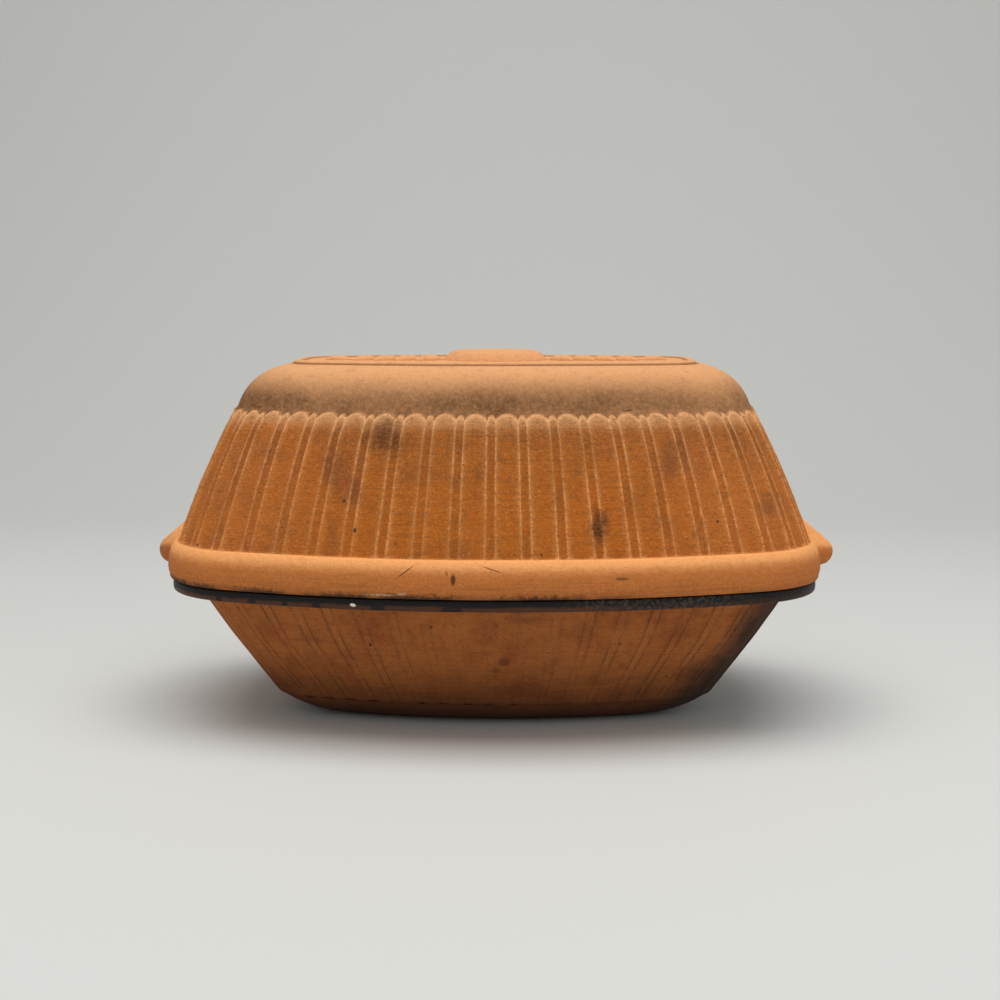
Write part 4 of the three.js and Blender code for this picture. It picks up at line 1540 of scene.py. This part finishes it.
@dataclass
class Dish:
    """The flared dish: rounded foot, fluted wall, rim flange, seat and lip."""

    seat: float
    wall: float = 9.0
    seat_width: float = 14.5
    seat_fillet: float = 0.8
    rim_thickness: float = 5.7
    rim_overhang: float = 13.3
    rim_radius: float = 1.2
    rim_swell: float = 0.15
    wall_angle: float = 56.7
    wall_falls: tuple[float, ...] = (50, 47, 42, 36, 29, 22, 15, 9, 5, 2.6, 1.4)
    end_falls: Span = (55.25, 51.4)
    end_spacing: float = 0.45
    toe_radius: float = 32.0
    toe_flatness: float = 0.4
    toe_fall: float = 60.0
    toe_waver: float = 0.6
    rim_waver: float = 0.3
    under_glaze: tuple[float, ...] = (0.1, 0.15, 0.25)
    lip_height: float = 6.0
    lip_thickness: float = 6.0
    lip_radius: float = 1.5
    lip_foot_rise: float = 1.5
    lip_foot_run: float = 0.7
    lip_foot_drop: float = 1.0
    fillet: float = 2.5
    fillet_run: float = 0.6
    fillet_drop: float = 0.25
    flutes: Flutes = Flutes(
        wide_depth=0.6, narrow_depth=0.5, end_rise=55.0, wide_arch=1.4, narrow_arch=0.8, narrow_drop=0.6,
        step=0.3, end_rounding=3.5, end_length=4.0, foot_length=3.0, arris_sharpness=7.0,
    )

    @property
    def rim_low(self) -> float:
        """Height of the rim's underside."""
        return self.seat - self.rim_thickness

    @property
    def toe_centre(self) -> Level:
        """Middle of the toe's arc."""
        angle = math.radians(self.wall_angle)
        toe_height = self.toe_radius * (1 - math.cos(angle))
        toe_inset = self.rim_overhang + (self.rim_low - toe_height) / math.tan(angle)
        return Level(toe_inset + self.toe_radius * math.sin(angle), self.toe_radius)

    def toe_levels(self) -> list[Level]:
        """The toe, from the foot up to the wall, where it lies a step behind the flutes' ends."""
        arc = round_levels(self.toe_centre, self.toe_radius, -90, self.wall_angle - 90, 10)
        return [
            Level(level.inset + self.flutes.step * share, level.height, level.lean)
            for level, share in zip(flattened(arc, self.toe_flatness), np.linspace(0, 1, len(arc)))
        ]

    def wall_levels(self) -> list[tuple[Level, float]]:
        """The wall below its flutes, from the toe up, with each level's fall from the rim."""
        lean = math.radians(self.wall_angle - 90)
        slope = 1 / math.tan(math.radians(self.wall_angle))
        start = self.rim_overhang + self.flutes.step
        ends = np.arange(*self.end_falls, -self.end_spacing)
        return [
            (Level(start + fall * slope, self.rim_low - fall, lean), float(fall))
            for fall in np.concatenate([ends, self.wall_falls])
        ]

    def rim_levels(self) -> list[tuple[Level, float]]:
        """The rim flange from the wall round to the seat, with the glaze's hold on each level."""
        low = Level(self.rim_radius, self.rim_low + self.rim_radius)
        high = Level(self.rim_radius, self.seat - self.rim_radius)
        under = [
            Level(self.rim_overhang - self.fillet_run, self.rim_low - self.fillet_drop, DOWN / 2),
            Level(self.rim_overhang - self.fillet, self.rim_low, DOWN),
            Level(self.rim_overhang / 2, self.rim_low, DOWN),
        ]
        edge = round_levels(low, self.rim_radius, -90, 0, 4)
        top = round_levels(high, self.rim_radius, 0, 90, 4)
        middle = Level(-self.rim_swell, (low.height + high.height) / 2)
        return [*zip(under, self.under_glaze), *((level, 1.0) for level in [*edge, middle, *top])]

    def lip_levels(self) -> list[Level]:
        """The seat, the lip and the inside down to the floor."""
        middle = self.seat + self.lip_height - self.lip_radius
        inset = self.seat_width + self.lip_thickness
        angle = math.radians(self.wall_angle)
        foot = self.rim_low - (inset - self.rim_overhang - self.wall / math.sin(angle)) * math.tan(angle)
        floor = round_levels(self.toe_centre, self.toe_radius - self.wall, self.wall_angle - 90, -90, 10)
        return [
            Level(self.seat_width / 2, self.seat, UP),
            Level(self.seat_width - self.seat_fillet, self.seat, UP),
            Level(self.seat_width, self.seat + self.seat_fillet),
            *round_levels(Level(self.seat_width + self.lip_radius, middle), self.lip_radius, 0, 90, 4),
            *round_levels(Level(inset - self.lip_radius, middle), self.lip_radius, 90, 180, 4),
            Level(inset, foot + self.lip_foot_rise, INWARD),
            Level(inset + self.lip_foot_run, foot - self.lip_foot_drop, INWARD),
            *(level.turned() for level in floor),
        ]

    def build(self, finish: Material) -> Thing:
        """Builds the dish.

        Args:
            finish: Its clay and glaze.

        Returns:
            The dish's shell.
        """
        shell = Shell("dish_shell", 0.0)
        foot = RIM.drawn_in(self.toe_centre.inset)
        within = {Trait.GLAZE: 1.0, Trait.INSIDE: 1.0}
        shell.add_flat(foot, Level(0.0, 0.0, DOWN), {}, CLOSING_SCALES)
        toe = self.toe_levels()
        shell.add_levels(toe[:1], {})
        shell.add_levels(toe[1:], {Trait.WAVER: self.toe_waver, Trait.RISE: self.toe_fall})
        for level, fall in self.wall_levels():
            shell.add_levels([level], {Trait.RISE: fall, Trait.FLUTED: 1.0, Trait.WAVER: 1.0})
        for level, glaze in self.rim_levels():
            waver = self.rim_waver if glaze < 1 else 0.0
            shell.add_levels([level], {Trait.GLAZE: glaze, Trait.WAVER: waver})
        shell.add_levels(self.lip_levels(), within)
        shell.add_flat(foot, Level(0.0, self.wall, UP), within, reversed(CLOSING_SCALES))
        dish = shell.make()
        self.flutes.tool("dish_flutes").bake(dish, finish)
        return dish


@dataclass(frozen=True)
class Lamp:
    """A soft rectangular light, with its place, aim, width and height in metres."""

    name: str
    place: Place
    size: Span
    watts: float
    aim: Place = (0.0, 0.0, 0.1)

    def build(self) -> None:
        """Puts the light in the scene, facing its aim."""
        lamp = bpy.data.lights.new(self.name, "AREA")
        lamp.shape = "RECTANGLE"
        lamp.size, lamp.size_y = self.size
        lamp.energy = self.watts
        thing = link(bpy.data.objects.new(self.name, lamp))
        thing.location = self.place
        x, y, z = np.array(self.aim) - np.array(self.place)
        thing.rotation_euler = (math.atan2(math.hypot(x, y), -z), 0.0, math.atan2(-x, y))


@dataclass
class Studio:
    """A plain pale sweep, soft light from above and in front, and the photograph's camera."""

    focal_length: float = 61.1
    sensor: float = 36.0
    camera_place: Place = (0.0206, -0.8683, 0.2142)
    camera_fall: float = 7.07
    camera_turn: float = 1.2
    sweep_half_width: float = 4.0
    sweep_front: float = -4.0
    sweep_back: float = 1.5
    sweep_radius: float = 0.8
    sweep_height: float = 3.0
    paper: Colour = srgb(216, 216, 212)
    paper_roughness: float = 0.75
    sky: Colour = srgb(236, 238, 240)
    sky_strength: float = 0.29
    lamps: tuple[Lamp, ...] = (
        Lamp("top_box", (0.0, -0.25, 1.5), (1.8, 1.2), 21.0),
        Lamp("front_box", (0.1, -2.2, 1.3), (2.2, 1.2), 5.3),
        Lamp("left_box", (-1.7, -0.8, 0.7), (0.9, 0.9), 2.0),
        Lamp("right_box", (1.7, -0.8, 0.7), (0.9, 0.9), 4.0),
    )

    def sweep(self) -> Thing:
        """Builds the floor that curves up into a wall behind."""
        centre = self.sweep_back - self.sweep_radius
        curve = [
            (centre + self.sweep_radius * math.sin(angle), self.sweep_radius * (1 - math.cos(angle)))
            for angle in np.linspace(0, math.pi / 2, 17)
        ]
        profile = [(self.sweep_front, 0.0), *curve, (self.sweep_back, self.sweep_height)]
        points = [(side * self.sweep_half_width, y, z) for y, z in profile for side in (-1, 1)]
        faces = [(2 * i, 2 * i + 1, 2 * i + 3, 2 * i + 2) for i in range(len(profile) - 1)]
        sweep = mesh_object("sweep", points, faces)
        sweep.data.materials.append(Paint("sweep_paper", self.paper).close({"Roughness": self.paper_roughness}))
        return sweep

    def build(self) -> Thing:
        """Builds the set.

        Returns:
            The sweep, to be staged.
        """
        scene = bpy.context.scene
        scene.view_settings.view_transform = "Standard"
        world = bpy.data.worlds.new("studio")
        world.use_nodes = True
        background = world.node_tree.nodes["Background"]
        background.inputs["Color"].default_value = self.sky
        background.inputs["Strength"].default_value = self.sky_strength
        scene.world = world
        for lamp in self.lamps:
            lamp.build()
        lens = bpy.data.cameras.new("camera")
        lens.lens = self.focal_length
        lens.sensor_width = self.sensor
        camera = link(bpy.data.objects.new("camera", lens))
        camera.location = self.camera_place
        camera.rotation_euler = (math.radians(90 - self.camera_fall), 0.0, math.radians(self.camera_turn))
        scene.camera = camera
        return self.sweep()


def report(piece: Thing) -> None:
    """Logs a piece's name and size."""
    size = [round(extent, 4) for extent in piece.dimensions]
    LOG.info("%s: %d faces, %s m", piece.name, len(piece.data.polygons), size)


def main() -> None:
    """Builds the roaster and its studio, and fixes each piece to its body."""
    logging.basicConfig(level=logging.INFO)
    Studio().build()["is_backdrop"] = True
    lid_clay = LID_CLAY.make()
    dish_clay = DISH_CLAY.make()
    lid_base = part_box("lid")[0][2] / MM
    lid = Lid(base=lid_base)
    dish = Dish(seat=lid_base - SEAT_GAP)
    dish_shell = dish.build(dish_clay)
    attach(dish_shell, "dish")
    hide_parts("dish")
    lid_shell = lid.build(lid_clay)
    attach(lid_shell, "lid")
    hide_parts("lid")
    relief = CrownRelief(lid.field_height, lid.panel.half_length - lid.frame_width).build(lid_clay)
    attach(relief, "lid")
    for piece in (dish_shell, lid_shell, relief):
        report(piece)
    sizes = {"cad": CAD_BOX, "visual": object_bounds()}
    {name: [[float(v) for v in corner] for corner in box] for name, box in sizes.items()}


if __name__ == "__main__":
    main()
